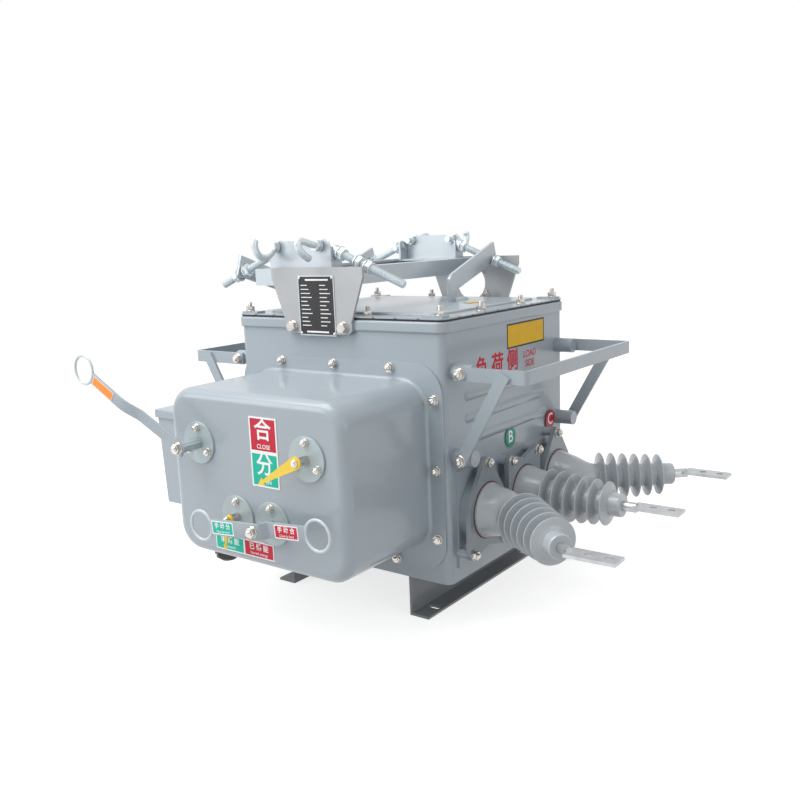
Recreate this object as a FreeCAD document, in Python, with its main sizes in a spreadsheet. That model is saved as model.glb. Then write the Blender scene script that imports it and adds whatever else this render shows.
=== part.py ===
import FreeCAD, Part
import math
import os
import Sketcher

# Outdoor vacuum circuit breaker for 12 kV lines, in millimetres.
# X points to the load side, Y to the back, Z up. Z is zero under the base rails,
# X and Y are zero in the middle of the tank.

doc = FreeCAD.newDocument("breaker")
dims = doc.addObject("Spreadsheet::Sheet", "Dims")

SIZES = (
    # tank
    ("tank_w", 540, "tank width between the bushing walls"),
    ("tank_d", 493, "tank depth from front to back wall"),
    ("wall_hgt", 497, "wall height below the rim"),
    ("rim_hgt", 22, "height of the rolled rim"),
    ("rim_out", 5, "how far the rim stands out of the wall"),
    ("rim_in", 34, "width of the flange under the gasket"),
    ("wall", 3, "sheet thickness of the tank"),
    ("corner_r", 16, "radius of the tank's upright edges"),
    ("rib_rad", 14, "radius of a pressed rib"),
    ("rib_out", 4.5, "height of a pressed rib above the wall"),
    ("rib_len", 320, "length of a pressed rib"),
    ("rib_low", 366, "height of the lowest rib"),
    ("rib_step", 44.5, "distance between ribs"),
    ("doubler", 4, "thickness of the plate behind the bushings"),
    ("doubler_len", 436, "length of that plate"),
    ("doubler_hgt", 197, "height of that plate"),
    ("doubler_z", 214.5, "height of that plate's middle"),
    # rails
    ("rail_hgt", 88, "height of a base rail"),
    ("rail_x", 162.5, "outer face of a rail's web from the middle"),
    ("rail_flange", 46, "flange width of a rail"),
    ("rail_wall", 5, "thickness of a rail"),
    ("rail_len", 477, "length of a rail"),
    ("slot_x", 190, "middle of a mounting slot from the middle"),
    ("slot_y", 188.5, "middle of a mounting slot along the rail"),
    ("slot_len", 28, "length of a mounting slot"),
    ("slot_r", 6.5, "half width of a mounting slot"),
    # lid
    ("gasket", 4, "thickness of the lid gasket"),
    ("lid_t", 2.5, "sheet thickness of the lid"),
    ("lid_rise", 5, "height of the lid's raised panel"),
    ("lid_edge", 44, "width of the lid's flat border"),
    ("stud_in", 17, "distance of a lid stud from the wall"),
    ("stud_mid", 80, "middle lid studs from the centre line"),
    ("stud_side", 82, "side lid studs from the middle"),
    ("stud_r", 5, "radius of a lid stud"),
    ("stud_hgt", 22, "height of a lid stud above the lid"),
    ("tab_len", 46, "length of a corner clamp plate"),
    ("tab_w", 24, "width of a corner clamp plate"),
    ("tab_t", 4, "thickness of a corner clamp plate"),
    ("notch", 4, "half width of a notch in the lid's edge"),
    # mechanism cover
    ("flange_w", 530, "width of the cover's flange"),
    ("flange_hgt", 414, "height of the cover's flange"),
    ("flange_t", 4, "thickness of the cover's flange"),
    ("flange_z", 320, "height of the flange's middle"),
    ("flange_r", 60, "corner radius of the flange"),
    ("cover_w", 456, "width of the cover at its root"),
    ("cover_top", 492, "height of the cover's top at its root"),
    ("cover_low", 158, "height of the cover's underside at its root"),
    ("cover_d", 250, "depth of the cover"),
    ("cover_r", 55, "corner radius of the cover"),
    ("cover_edge", 21, "edge radius round the cover's front"),
    ("cover_t", 3, "sheet thickness of the cover"),
    ("cover_root", 7, "hollow radius where the cover meets its flange"),
    ("bolt_x", 145, "cover bolts from the middle in the long rows"),
    ("bolt_side", 247, "cover bolts from the middle in the side rows"),
    ("bolt_up", 195.5, "cover bolts above the flange's middle"),
    ("bolt_step", 138, "distance between bolts of a side row"),
    # front discs
    ("disc_r", 42, "radius of a bearing disc"),
    ("disc_t", 4, "thickness of a bearing disc"),
    ("disc_pcd", 31, "bolt circle radius of a bearing disc"),
    ("disc_x", 141.5, "upper discs from the middle"),
    ("disc_z", 387, "height of the upper discs"),
    ("low_x", 46, "lower discs from the middle"),
    ("low_z", 252, "height of the lower discs"),
    ("shaft_r", 9, "radius of a front shaft"),
    # charging handle
    ("arm_turn", 31, "rise of the charging handle"),
    ("arm_len", 275, "charging handle from pivot to ring middle"),
    ("arm_w", 24, "width of the charging handle"),
    ("arm_t", 5, "thickness of the charging handle"),
    ("arm_jog", 32, "how far the handle's outer part is set forward"),
    ("arm_bend", 104, "handle from pivot to its joggle"),
    ("arm_bent", 162, "handle from pivot to the end of its joggle"),
    ("arm_end", 14, "end of the charging handle beyond its pivot"),
    ("arm_out", 51, "cover to the charging handle"),
    ("stub_w", 16, "width of the square stub"),
    ("ring_r", 32, "outer radius of the handle's ring"),
    ("ring_in", 26, "inner radius of the handle's ring"),
    # double ring lever
    ("lev_turn", 4.6, "tilt of the manual lever"),
    ("lev_left", 141, "manual lever from pivot to left ring"),
    ("lev_jog", 17, "how far the manual lever's left half is set forward"),
    ("lev_bent", 40, "manual lever from pivot to the far end of its joggle"),
    ("lev_bend", 18, "manual lever from pivot to the near end of its joggle"),
    ("lev_right", 141, "manual lever from pivot to right ring"),
    ("lev_w", 32, "width of the manual lever"),
    ("lev_t", 5, "thickness of the manual lever"),
    ("lev_out", 34, "cover to the manual lever"),
    ("lev_ring", 31, "outer radius of a lever ring"),
    ("lev_hole", 26.5, "inner radius of a lever ring"),
    # pointers
    ("ptr_len", 108, "position pointer from pivot to tip"),
    ("ptr_turn", 28.4, "position pointer below level"),
    ("ptr_out", 30, "cover to the position pointer"),
    ("ptr_t", 2.5, "thickness of a pointer"),
    ("ptr_r", 12, "eye radius of the position pointer"),
    ("ptr_neck", 2.7, "half width of the position pointer behind its arrowhead"),
    ("ptr_barb", 7.5, "half width of the position pointer's arrowhead"),
    ("ptr_head", 15, "length of the position pointer's arrowhead"),
    ("eng_share", 0.65, "energy pointer's width as a share of the position pointer's"),
    ("eng_len", 64, "energy pointer from pivot to tip"),
    ("eng_turn", 13, "energy pointer off plumb"),
    ("eng_out", 26, "cover to the energy pointer"),
    # terminal box and socket
    ("tbox_w", 142, "width of the terminal box"),
    ("tbox_taper", 10, "how much narrower the terminal box is at its foot"),
    ("tbox_d", 130, "depth of the terminal box"),
    ("tbox_hgt", 189, "height of the terminal box"),
    ("tbox_z", 213, "underside of the terminal box"),
    ("tbox_y", 416, "front of the terminal box"),
    ("tbox_t", 2, "sheet thickness of the terminal box"),
    ("tlid_hgt", 18, "height of the terminal box's lid"),
    ("tlid_out", 4, "overhang of the terminal box's lid"),
    ("sock_r", 25, "radius of the control socket"),
    ("sock_x", 165, "control socket from the middle"),
    ("sock_y", 425, "control socket in front of the middle"),
    ("sock_drop", 36, "length of the control socket"),
    # side frames
    ("boss_r", 16, "radius of a side boss"),
    ("boss_len", 44, "length of a side boss"),
    ("boss_y", 213.5, "side bosses from the middle"),
    ("boss_up", 509.5, "height of the upper side bosses"),
    ("boss_low", 343, "height of the lower side bosses"),
    ("boss_tap", 24, "depth of a boss's threaded hole"),
    ("bar_w", 26, "width of the frame's flat bar"),
    ("bar_t", 6, "thickness of the frame's flat bar"),
    ("frame_x", 439, "outer face of the side frame"),
    ("frame_bolt", 297, "frame bolts from the middle"),
    ("strut_top", 392, "upper end of a strut"),
    ("strut_w", 24, "width of a strut"),
    # bushings
    ("bush_z", 223.5, "height of the bushings"),
    ("phase", 151, "distance between bushings"),
    ("seat_x", 274, "seat of a bushing flange from the middle"),
    ("foot_r", 62, "radius of a bushing's foot"),
    ("clamp_x", 303, "front of a clamp ring from the middle"),
    ("clamp_t", 10, "thickness of a clamp plate"),
    ("clamp_r", 69, "radius of a clamp plate"),
    ("drum_r", 66, "outer radius of a clamp's drum"),
    ("clamp_hole", 58.2, "hole of a clamp plate"),
    ("ear_pcd", 97, "clamp bolts from the bushing axis"),
    ("ear_turn", 38, "spread of the paired clamp bolts"),
    ("ear_r", 12, "radius of a clamp ear"),
    ("post_r", 7, "radius of a clamp stand-off"),
    ("root_r", 55.5, "radius of a bushing at the clamp"),
    ("neck_r", 44, "radius of a bushing inside the tank"),
    ("neck_len", 50, "length of a bushing inside the tank"),
    ("straight_r", 45, "radius of a straight bushing at its first shed"),
    ("first_shed", 58.4, "clamp front to the first shed, straight bushing"),
    ("shed_step", 25.7, "distance between sheds"),
    ("shed_r", 54, "radius of the first shed"),
    ("shed_less", 1.86, "how much each shed is smaller than the last"),
    ("shed_t", 3, "rim thickness of a shed"),
    ("core_r", 26, "radius of the core between sheds"),
    ("cap_r", 23.5, "radius of the bushing's end"),
    ("cap_len", 33, "last shed to the bushing's end"),
    ("bend_x", 61, "clamp front to the bend of an outer bushing"),
    ("bend_shed", 40, "bend to the first shed of an outer bushing"),
    ("bend_turn", 38, "turn of an outer bushing"),
    ("trunk_x", 32, "clamp front to the middle of an outer bushing's trunk"),
    ("trunk_r", 47.5, "radius of an outer bushing's trunk there"),
    ("bend_r", 39, "radius of an outer bushing at its bend"),
    ("bend_in", 4, "how far the bend's middle lies inside the corner"),
    ("neck_x", 18, "bend to the start of an outer bushing's neck"),
    ("neck_big", 32.5, "radius of an outer bushing there"),
    ("bend_neck", 29, "radius of an outer bushing's neck"),
    ("rod_r", 10, "radius of a bushing conductor"),
    ("lug_end", 640, "end of a terminal from the middle"),
    ("lug_w", 40, "width of a terminal"),
    ("lug_t", 6, "thickness of a terminal"),
    ("lug_hole", 6.5, "radius of a terminal hole"),
    ("lug_x", 546, "start of a terminal from the middle"),
    ("lug_y", 297.5, "outer terminals from the middle"),
    # hanging bracket
    ("hang_x", -80, "middle of the hanging frame"),
    ("hang_w", 254, "width of the hanging frame"),
    ("hang_top", 710, "top of the hanging frame"),
    ("hang_leg", 35, "leg of the frame's angle iron"),
    ("hang_t", 5, "thickness of the frame's angle iron"),
    ("gus_x", 31, "middle of a gusset from the centre line"),
    ("gus_top", 123, "half width of a gusset at its top"),
    ("gus_bot", 90, "half width of a gusset at its foot"),
    ("gus_high", 712, "top of a gusset"),
    ("gus_low", 577, "foot of a gusset"),
    ("gus_t", 6, "thickness of a gusset"),
    ("gus_hole", 41, "radius of a gusset's window"),
    ("gus_window", 648, "height of a gusset's window"),
    ("gus_bolt", 68.5, "gusset bolts from the gusset's middle"),
    ("gus_bolt_z", 591, "height of the gusset bolts"),
    ("up_w", 170, "width of an upright"),
    ("up_hgt", 56, "height of an upright above the frame"),
    ("up_leg", 34, "side leg of an upright"),
    ("hook_gap", 60, "hooks from the upright's middle"),
    ("hook_z", 756, "height of the hooks"),
    ("hook_r", 7.5, "radius of a hook's bar"),
    ("hook_nut", 22, "hexagon nut of a hook across its flats"),
    ("tie_r", 8, "radius of a threaded tie"),
    ("tie_nut", 24, "hexagon nut of a tie across its flats"),
    ("tie_turn", 22, "slope of a tie"),
    ("tie_len", 187, "length of a tie"),
    ("tie_boss", 12.5, "radius of the boss a tie sits in"),
    ("tie_tip", 252, "end of a tie from the frame's middle"),
    ("tie_z", 675, "height of a tie's end"),
    ("tie_y", 228, "ties from the middle"),
    ("clip_w", 50, "width of a clamp arm"),
    ("clip_t", 8, "thickness of a clamp arm"),
    ("clip_turn", 17, "slope of a clamp arm"),
    ("clip_len", 170, "clamp arm from tie to free end"),
    ("clip_back", 16, "clamp arm beyond the tie"),
    ("clip_x", 176, "clamp arm from the frame's middle"),
    ("clip_far", 189, "left clamp arms from the frame's middle"),
    # inside
    ("vi_len", 128, "length of an interrupter"),
    ("vi_start", 150, "closed end of an interrupter from the middle"),
    ("vi_wall", 8, "wall of an interrupter"),
    ("face_x", 90, "fixed contact face from the middle"),
    ("stroke_gap", 10.5, "opening between the contacts"),
    ("contact_r", 24, "radius of a contact"),
    ("contact_t", 6, "thickness of a contact"),
    ("vi_r", 46, "radius of an interrupter"),
    ("vi_cap", 36, "radius of an interrupter's end"),
    ("stem_r", 11, "radius of a moving stem"),
    ("pull_r", 14, "radius of an insulating pull rod"),
    ("pull_in", 60, "start of a pull rod"),
    ("pull_out", 105, "end of a pull rod's thick part"),
    ("eye_t", 8, "thickness of a pull rod's eye"),
    ("crank", 13, "crank radius of the main shaft"),
    ("open_turn", 23, "lean of a crank in the open state"),
    ("pin_r", 4, "radius of a crank pin"),
    ("cheek_r", 24, "radius of a crank cheek"),
    ("cheek_t", 6, "thickness of a crank cheek"),
    ("bar_x", 25, "load bar from the middle"),
    ("line_x", 184, "line bar from the middle"),
    ("bus_t", 8, "thickness of a copper bar"),
    ("bus_w", 40, "width of a copper bar"),
    ("main_r", 12, "radius of the main shaft"),
    ("ct_x", 176, "current transformer from the middle"),
    ("ct_r", 52, "radius of a current transformer"),
    ("ct_hole", 24, "window of a current transformer"),
    ("ct_len", 46, "length of a current transformer"),
    ("plate_front", 470, "front mechanism plate from the middle"),
    ("plate_rear", 292, "rear mechanism plate from the middle"),
    ("plate_w", 372, "width of a mechanism plate"),
    ("plate_low", 182, "underside of a mechanism plate"),
    ("plate_high", 452, "top of a mechanism plate"),
    ("plate_t", 6, "thickness of a mechanism plate"),
    ("spring_r", 15, "radius of a spring's coil"),
    ("wire_r", 2, "radius of spring wire"),
    ("gap", 0.3, "clearance round a fixed screw"),
    ("fit", 0.05, "play of a cast-in or sliding rod"),
    ("run", 0.05, "running clearance of a shaft"),
)

row = 1
for alias, value, note in SIZES:
    dims.set("A%d" % row, note)
    dims.set("B%d" % row, str(value))
    dims.setAlias("B%d" % row, alias)
    row += 1

# sizes that follow from the others
DERIVED = (
    ("floor_z", "=rail_hgt"),
    ("wall_top", "=rail_hgt + wall_hgt"),
    ("rim_top", "=rail_hgt + wall_hgt + rim_hgt"),
    ("lid_low", "=rail_hgt + wall_hgt + rim_hgt + gasket"),
    ("half_w", "=tank_w / 2"),
    ("half_d", "=tank_d / 2"),
    ("face_y", "=-(tank_d / 2 + cover_d)"),
    ("disc_y", "=-(tank_d / 2 + cover_d + disc_t)"),
    ("vi_z", "=disc_z - crank * cos(open_turn)"),
    ("pin_x", "=disc_x + crank * sin(open_turn)"),
    ("seat_in", "=clamp_x - seat_x"),
    ("neck_end", "=clamp_x - tank_w / 2 + neck_len"),
    ("web_cos", "=(clamp_r - ear_r) / ear_pcd"),
    ("web_sin", "=sqrt(1 - ((clamp_r - ear_r) / ear_pcd) ^ 2)"),
)
for alias, rule in DERIVED:
    dims.set("A%d" % row, alias)
    dims.set("B%d" % row, rule)
    dims.setAlias("B%d" % row, alias)
    row += 1
doc.recompute()

ALL = sorted([entry[0] for entry in SIZES] + [entry[0] for entry in DERIVED], key=len, reverse=True)
counter = {"n": 0}


def size(alias):
    return float(dims.get(alias))


def rule(text):
    # puts the sheet's name before each size in an expression
    out = ""
    word = ""
    for letter in str(text) + " ":
        if letter.isalnum() or letter == "_":
            word += letter
            continue
        out += "Dims." + word if word in ALL else word
        word = ""
        out += letter
    return out.strip()


def label(prefix):
    counter["n"] += 1
    return "%s_%03d" % (prefix, counter["n"])


def put(obj, x, y, z, turn="0; 0; 0", shift=None):
    text = "placement(vector(%s; %s; %s); rotation(%s))" % (rule(x), rule(y), rule(z), rule(turn))
    if shift:
        text += " * placement(vector(%s; %s; %s); rotation(0; 0; 0))" % tuple(rule(part)
                                                                              for part in shift)
    obj.setExpression("Placement", text)
    return obj


# turns that point a part's own Z axis along X, back along X, to the back and to the front
TO_X = "0; 90; 0"
TO_NX = "180; 90; 0"
TO_Y = "90; 90; 0"
TO_NY = "-90; 90; 0"
UP = "0; 0; 0"
DOWN = "0; 180; 0"


def box(lx, ly, lz, x, y, z, turn=UP):
    # a block by its sizes and its middle
    obj = doc.addObject("Part::Box", label("Block"))
    obj.setExpression("Length", rule(lx))
    obj.setExpression("Width", rule(ly))
    obj.setExpression("Height", rule(lz))
    half = ("-(%s) / 2" % lx, "-(%s) / 2" % ly, "-(%s) / 2" % lz)
    return put(obj, x, y, z, turn, half)


def cyl(r, length, x, y, z, turn=UP):
    obj = doc.addObject("Part::Cylinder", label("Round"))
    obj.setExpression("Radius", rule(r))
    obj.setExpression("Height", rule(length))
    return put(obj, x, y, z, turn)


def cone(r1, r2, length, x, y, z, turn=UP):
    obj = doc.addObject("Part::Cone", label("Cone"))
    obj.setExpression("Radius1", rule(r1))
    obj.setExpression("Radius2", rule(r2))
    obj.setExpression("Height", rule(length))
    return put(obj, x, y, z, turn)


def ball(r, x, y, z):
    obj = doc.addObject("Part::Sphere", label("Ball"))
    obj.setExpression("Radius", rule(r))
    return put(obj, x, y, z)


def hexagon(across, length, x, y, z, turn=UP):
    # a hexagon prism by its width across flats
    base = doc.addObject("Part::Prism", label("Hex"))
    base.Polygon = 6
    base.setExpression("Circumradius", "(%s) / sqrt(3)" % rule(across))
    base.setExpression("Height", rule(length))
    return put(base, x, y, z, turn)


def outline(points):
    # a closed straight-sided sketch tied to the sheet
    sketch = doc.addObject("Sketcher::SketchObject", label("Outline"))
    values = [(measure(u), measure(w)) for u, w in points]
    total = len(points)
    for i in range(total):
        a = values[i]
        b = values[(i + 1) % total]
        start = FreeCAD.Vector(a[0], a[1], 0)
        end = FreeCAD.Vector(b[0], b[1], 0)
        sketch.addGeometry(Part.LineSegment(start, end), False)
    for i in range(total):
        sketch.addConstraint(Sketcher.Constraint("Coincident", i, 2, (i + 1) % total, 1))
    for i in range(total):
        for kind, value, text in zip(("DistanceX", "DistanceY"), values[i], points[i]):
            spot = sketch.addConstraint(Sketcher.Constraint(kind, -1, 1, i, 1, value))
            if any(letter.isalpha() for letter in str(text)):
                sketch.setExpression("Constraints[%d]" % spot, rule(text))
    return sketch


def prism(points, length, x, y, z, turn=UP):
    # an outline in the part's own XY plane, pushed out along its own Z
    obj = doc.addObject("Part::Extrusion", label("Pushed"))
    obj.Base = outline(points)
    obj.DirMode = "Custom"
    obj.Dir = (0, 0, 1)
    obj.Solid = True
    obj.setExpression("LengthFwd", rule(length))
    return put(obj, x, y, z, turn)


def measure(text):
    # the present value of an expression of sizes
    return float(dims.evalExpression(rule(text)))


def fuse(*parts):
    obj = doc.addObject("Part::MultiFuse", label("Joined"))
    obj.Shapes = list(parts)
    obj.Refine = True
    return obj


def cut(base, *tools):
    obj = doc.addObject("Part::Cut", label("Cut"))
    obj.Base = base
    obj.Tool = tools[0] if len(tools) == 1 else fuse(*tools)
    return obj


def soften(base, radius, choose):
    # rounds the edges that the test picks
    doc.recompute()
    picked = []
    for i, edge in enumerate(base.Shape.Edges):
        if choose(edge):
            picked.append((i + 1, radius, radius))
    obj = doc.addObject("Part::Fillet", label("Rounded"))
    obj.Base = base
    obj.Edges = picked
    return obj


def runs(edge, axis):
    # is this a straight edge along the given axis
    if len(edge.Vertexes) < 2:
        return False
    step = edge.Vertexes[-1].Point.sub(edge.Vertexes[0].Point)
    if abs(step.Length - edge.Length) > 0.01:
        return False
    return abs(step.normalize().dot(FreeCAD.Vector(*axis))) > 0.9


nodes = {}


def node(name, *solids):
    # several separate solids of one kind share a node
    if len(solids) == 1:
        nodes[name] = solids[0]
        return solids[0]
    group = doc.addObject("Part::Compound", label("Group"))
    group.Links = list(solids)
    nodes[name] = group
    return group


def bolt(across, head, shank_r, shank, x, y, z, turn):
    # a hexagon head with its washer and shank; Z of the part runs into the work
    back = {TO_X: TO_NX, TO_NX: TO_X, TO_Y: TO_NY, TO_NY: TO_Y, UP: DOWN, DOWN: UP}[turn]
    washer = cyl("(%s) * 0.62" % across, "1.6", x, y, z, back)
    core = cyl(shank_r, "(%s) + 1.6" % shank, x, y, z, turn)
    parts = [washer, core]
    steps = {TO_X: (-1, 0, 0), TO_NX: (1, 0, 0), TO_Y: (0, -1, 0), TO_NY: (0, 1, 0), UP: (0, 0, -1),
             DOWN: (0, 0, 1)}[turn]
    place = ["(%s) + (%s) * 1.6" % (value, step) for value, step in zip((x, y, z), steps)]
    parts.append(hexagon(across, head, place[0], place[1], place[2], back))
    return fuse(*parts)


def turned(points, x, y, z, turn=UP):
    # a lathe profile of radius and height, turned about the part's own Z
    sketch = outline(points)
    sketch.Placement = FreeCAD.Placement(FreeCAD.Vector(0, 0, 0),
                                         FreeCAD.Rotation(FreeCAD.Vector(1, 0, 0), 90))
    obj = doc.addObject("Part::Revolution", label("Turned"))
    obj.Source = sketch
    obj.Axis = (0, 0, 1)
    obj.Base = (0, 0, 0)
    obj.Angle = 360
    obj.Solid = True
    return put(obj, x, y, z, turn)


def rod(points, r):
    # a round bar through points, with ball corners; every point is an (x, y, z) of sizes
    parts = []
    for i in range(len(points) - 1):
        a = [measure(value) for value in points[i]]
        b = [measure(value) for value in points[i + 1]]
        step = [q - p for p, q in zip(a, b)]
        length = math.sqrt(sum(value * value for value in step))
        yaw = math.degrees(math.atan2(step[1], step[0]))
        tilt = math.degrees(math.acos(step[2] / length))
        parts.append(cyl(r, str(length), points[i][0], points[i][1], points[i][2],
                         "%f; %f; 0" % (yaw, tilt)))
        if i:
            parts.append(ball(r, *points[i]))
    return fuse(*parts)


def slot(length, r, depth, x, y, z):
    # a slot cutter along X
    side = "((%s) / 2 - (%s))" % (length, r)
    middle = box("(%s) - 2 * (%s)" % (length, r), "2 * (%s)" % r, depth, x, y, z)
    low = "(%s) - (%s) / 2" % (z, depth)
    ends = [cyl(r, depth, "(%s) + %s * %s" % (x, way, side), y, low) for way in ("1", "-1")]
    return fuse(middle, *ends)


def spring(r, wire, length, turns, x, y, z, turn=UP):
    helix = doc.addObject("Part::Helix", label("Helix"))
    helix.setExpression("Radius", rule(r))
    helix.setExpression("Height", rule(length))
    helix.setExpression("Pitch", "(%s) / %s" % (rule(length), turns))
    put(helix, x, y, z, turn)
    section = doc.addObject("Part::Circle", label("Wire"))
    section.setExpression("Radius", rule(wire))
    text = "placement(vector(%s; %s; %s); rotation(%s)) * placement(vector(%s; 0; 0); rotation(0; 0; 90))"
    section.setExpression("Placement", text % (rule(x), rule(y), rule(z), rule(turn), rule(r)))
    sweep = doc.addObject("Part::Sweep", label("Spring"))
    sweep.Sections = [section]
    sweep.Spine = helix
    sweep.Solid = True
    sweep.Frenet = True
    return sweep


SIDES = ("1", "-1")
PHASES = ("-phase", "0", "phase")


def loft(*sections):
    # a smooth skin over circles; each is a radius, a place and a turn
    rings = []
    for r, x, y, z, turn in sections:
        ring = doc.addObject("Part::Circle", label("Ring"))
        ring.setExpression("Radius", rule(r))
        rings.append(put(ring, x, y, z, turn))
    obj = doc.addObject("Part::Loft", label("Lofted"))
    obj.Sections = rings
    obj.Solid = True
    return obj


# Base rails: two channels with their flanges outward and four slots for the crossarm bolts.
rails = []
for s in SIDES:
    outer = box("rail_flange", "rail_len", "rail_hgt", s + " * (rail_x + rail_flange / 2)", "0",
                "rail_hgt / 2")
    hollow = box("rail_flange", "rail_len + 2", "rail_hgt - 2 * rail_wall",
                 s + " * (rail_x + rail_wall + rail_flange / 2)", "0", "rail_hgt / 2")
    slots = [slot("slot_len", "slot_r", "rail_wall + 4", s + " * slot_x", q + " * slot_y",
                  "rail_wall / 2") for q in SIDES]
    rails.append(cut(outer, hollow, *slots))
node("base_rails", *rails)

# Places used again and again.
COVER_BOLTS = []
for px in ("-bolt_x", "0", "bolt_x"):
    for pz in ("flange_z + bolt_up", "flange_z - bolt_up"):
        COVER_BOLTS.append((px, pz))
for px in ("-bolt_side", "bolt_side"):
    for pz in ("flange_z - bolt_step", "flange_z", "flange_z + bolt_step"):
        COVER_BOLTS.append((px, pz))
LID_STUDS = []
for py in ("-(half_d - stud_in)", "half_d - stud_in"):
    for px in ("-(half_w - stud_in)", "-stud_mid", "stud_mid", "half_w - stud_in"):
        LID_STUDS.append((px, py))
for px in ("-(half_w - stud_in)", "half_w - stud_in"):
    for py in ("-stud_side", "stud_side"):
        LID_STUDS.append((px, py))


def ears(py):
    # angles of a clamp's three bolts, one up and two down, and the other way on the middle phase
    if py == "0":
        return ("90 + ear_turn - 2", "90 - ear_turn + 2", "270")
    return ("90", "270 - ear_turn", "270 + ear_turn")


def ear_spot(py, angle):
    return "(%s) + ear_pcd * cos(%s)" % (py, angle), "bush_z + ear_pcd * sin(%s)" % angle


# Tank: sheet steel box with rolled rim, pressed ribs, doubler plates and welded bosses.
shell = soften(box("tank_w", "tank_d", "wall_hgt", "0", "0", "floor_z + wall_hgt / 2"), size("corner_r"),
               lambda edge: runs(edge, (0, 0, 1)))
rim = soften(box("tank_w + 2 * rim_out", "tank_d + 2 * rim_out", "rim_hgt", "0", "0",
                 "wall_top + rim_hgt / 2"),
             size("corner_r") + size("rim_out"), lambda edge: runs(edge, (0, 0, 1)))
rim = soften(rim, size("rim_out") - 1, lambda edge: abs(edge.CenterOfMass.z - size("rim_top")) < 0.1
             or abs(edge.CenterOfMass.z - size("wall_top")) < 0.1)
adds = [rim]
cuts = []
for s in SIDES:
    adds.append(box("doubler", "doubler_len", "doubler_hgt", s + " * (half_w + doubler / 2)", "0",
                    "doubler_z"))
    for i in ("0", "1", "2"):
        high = "rib_low + %s * rib_step" % i
        deep = s + " * (half_w + rib_out - rib_rad)"
        adds.append(cyl("rib_rad", "rib_len", deep, "-rib_len / 2 - 9", high, TO_Y))
        adds.extend(ball("rib_rad", deep, "%s * rib_len / 2 - 9" % q, high) for q in SIDES)
        cuts.append(cyl("rib_rad - wall", "rib_len", deep, "-rib_len / 2 - 9", high, TO_Y))
    for q in SIDES:
        for up in ("boss_up", "boss_low"):
            adds.append(cyl("boss_r", "boss_len", s + " * half_w", q + " * boss_y", up,
                            TO_X if s == "1" else TO_NX))
outer = fuse(shell, *adds)
inside = soften(box("tank_w - 2 * wall", "tank_d - 2 * wall", "wall_hgt + rim_hgt - 2 * wall", "0", "0",
                    "floor_z + (wall_hgt + rim_hgt) / 2"), size("corner_r") - size("wall"),
                lambda edge: runs(edge, (0, 0, 1)))
mouth = box("tank_w - 2 * rim_in", "tank_d - 2 * rim_in", "6 * wall", "0", "0", "rim_top")
cuts += [inside, mouth]
for px, pz in COVER_BOLTS:
    cuts.append(cyl("5 + gap", "3 * wall", px, "-(half_d + wall)", pz, TO_Y))
cuts.append(cyl("main_r + 8", "3 * wall", "disc_x", "-(half_d + wall)", "disc_z", TO_Y))
for px, py in LID_STUDS:
    cuts.append(cyl("stud_r + gap", "4 * wall", px, py, "rim_top - 2 * wall"))
for s in SIDES:
    way = TO_X if s == "1" else TO_NX
    for py in PHASES:
        cuts.append(cyl("neck_r + gap", "4 * wall", s + " * (half_w - 2 * wall)", py, "bush_z", way))
        for angle in ears(py):
            ey, ez = ear_spot(py, angle)
            cuts.append(cyl("5 + gap", "4 * wall", s + " * (half_w - 2 * wall)", ey, ez, way))
    for q in SIDES:
        for up in ("boss_up", "boss_low"):
            cuts.append(cyl("6 + gap", "boss_tap + 2", s + " * frame_bolt",
                            q + " * (boss_y + boss_r - boss_tap)", up,
                            TO_Y if q == "1" else TO_NY))
for q in SIDES:
    for way in SIDES:
        cuts.append(cyl("6 + gap", "7 * wall", "%s * gus_x + %s * gus_bolt" % (q, way),
                        q + " * (half_d - 4 * wall)",
                        "gus_bolt_z", TO_Y if q == "1" else TO_NY))
node("tank", cut(outer, *cuts))

# Lid with a raised panel and a notched edge, its gasket, studs and corner clamp plates.
border = soften(box("tank_w + rim_out", "tank_d + rim_out", "lid_t", "0", "0", "lid_low + lid_t / 2"),
                size("corner_r"), lambda edge: runs(edge, (0, 0, 1)))
panel = soften(box("tank_w - 2 * lid_edge", "tank_d - 2 * lid_edge", "lid_rise + lid_t", "0", "0",
                   "lid_low + (lid_rise + lid_t) / 2"), 22, lambda edge: runs(edge, (0, 0, 1)))
panel = soften(panel, size("lid_rise") - 1,
               lambda edge: abs(edge.CenterOfMass.z - size("lid_low") - size("lid_rise")
               - size("lid_t")) < 0.1)
under = soften(box("tank_w - 2 * lid_edge - 10", "tank_d - 2 * lid_edge - 10", "2 * lid_rise", "0", "0",
                   "lid_low"), 17,
               lambda edge: runs(edge, (0, 0, 1)))
nicks = []
for k in ("-4", "-3", "-2", "-1", "0", "1", "2", "3", "4"):
    for q in SIDES:
        nicks.append(cyl("notch", "4 * lid_t", k + " * 54", q + " * (tank_d + rim_out) / 2",
                         "lid_low - lid_t"))
        nicks.append(cyl("notch", "4 * lid_t", q + " * (tank_w + rim_out) / 2", k + " * 48",
                         "lid_low - lid_t"))
holes = [cyl("stud_r + gap", "4 * lid_t", px, py, "lid_low - lid_t") for px, py in LID_STUDS]
node("lid", cut(fuse(border, panel), under, *(nicks + holes)))
seal = box("tank_w + 2", "tank_d + 2", "gasket", "0", "0", "rim_top + gasket / 2")
seal = soften(seal, size("corner_r"), lambda edge: runs(edge, (0, 0, 1)))
open_seal = box("tank_w - 2 * rim_in", "tank_d - 2 * rim_in", "3 * gasket", "0", "0", "rim_top")
holes = [cyl("stud_r + gap", "3 * gasket", px, py, "rim_top - gasket") for px, py in LID_STUDS]
node("lid_gasket", cut(seal, open_seal, *holes))
tabs = []
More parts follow.
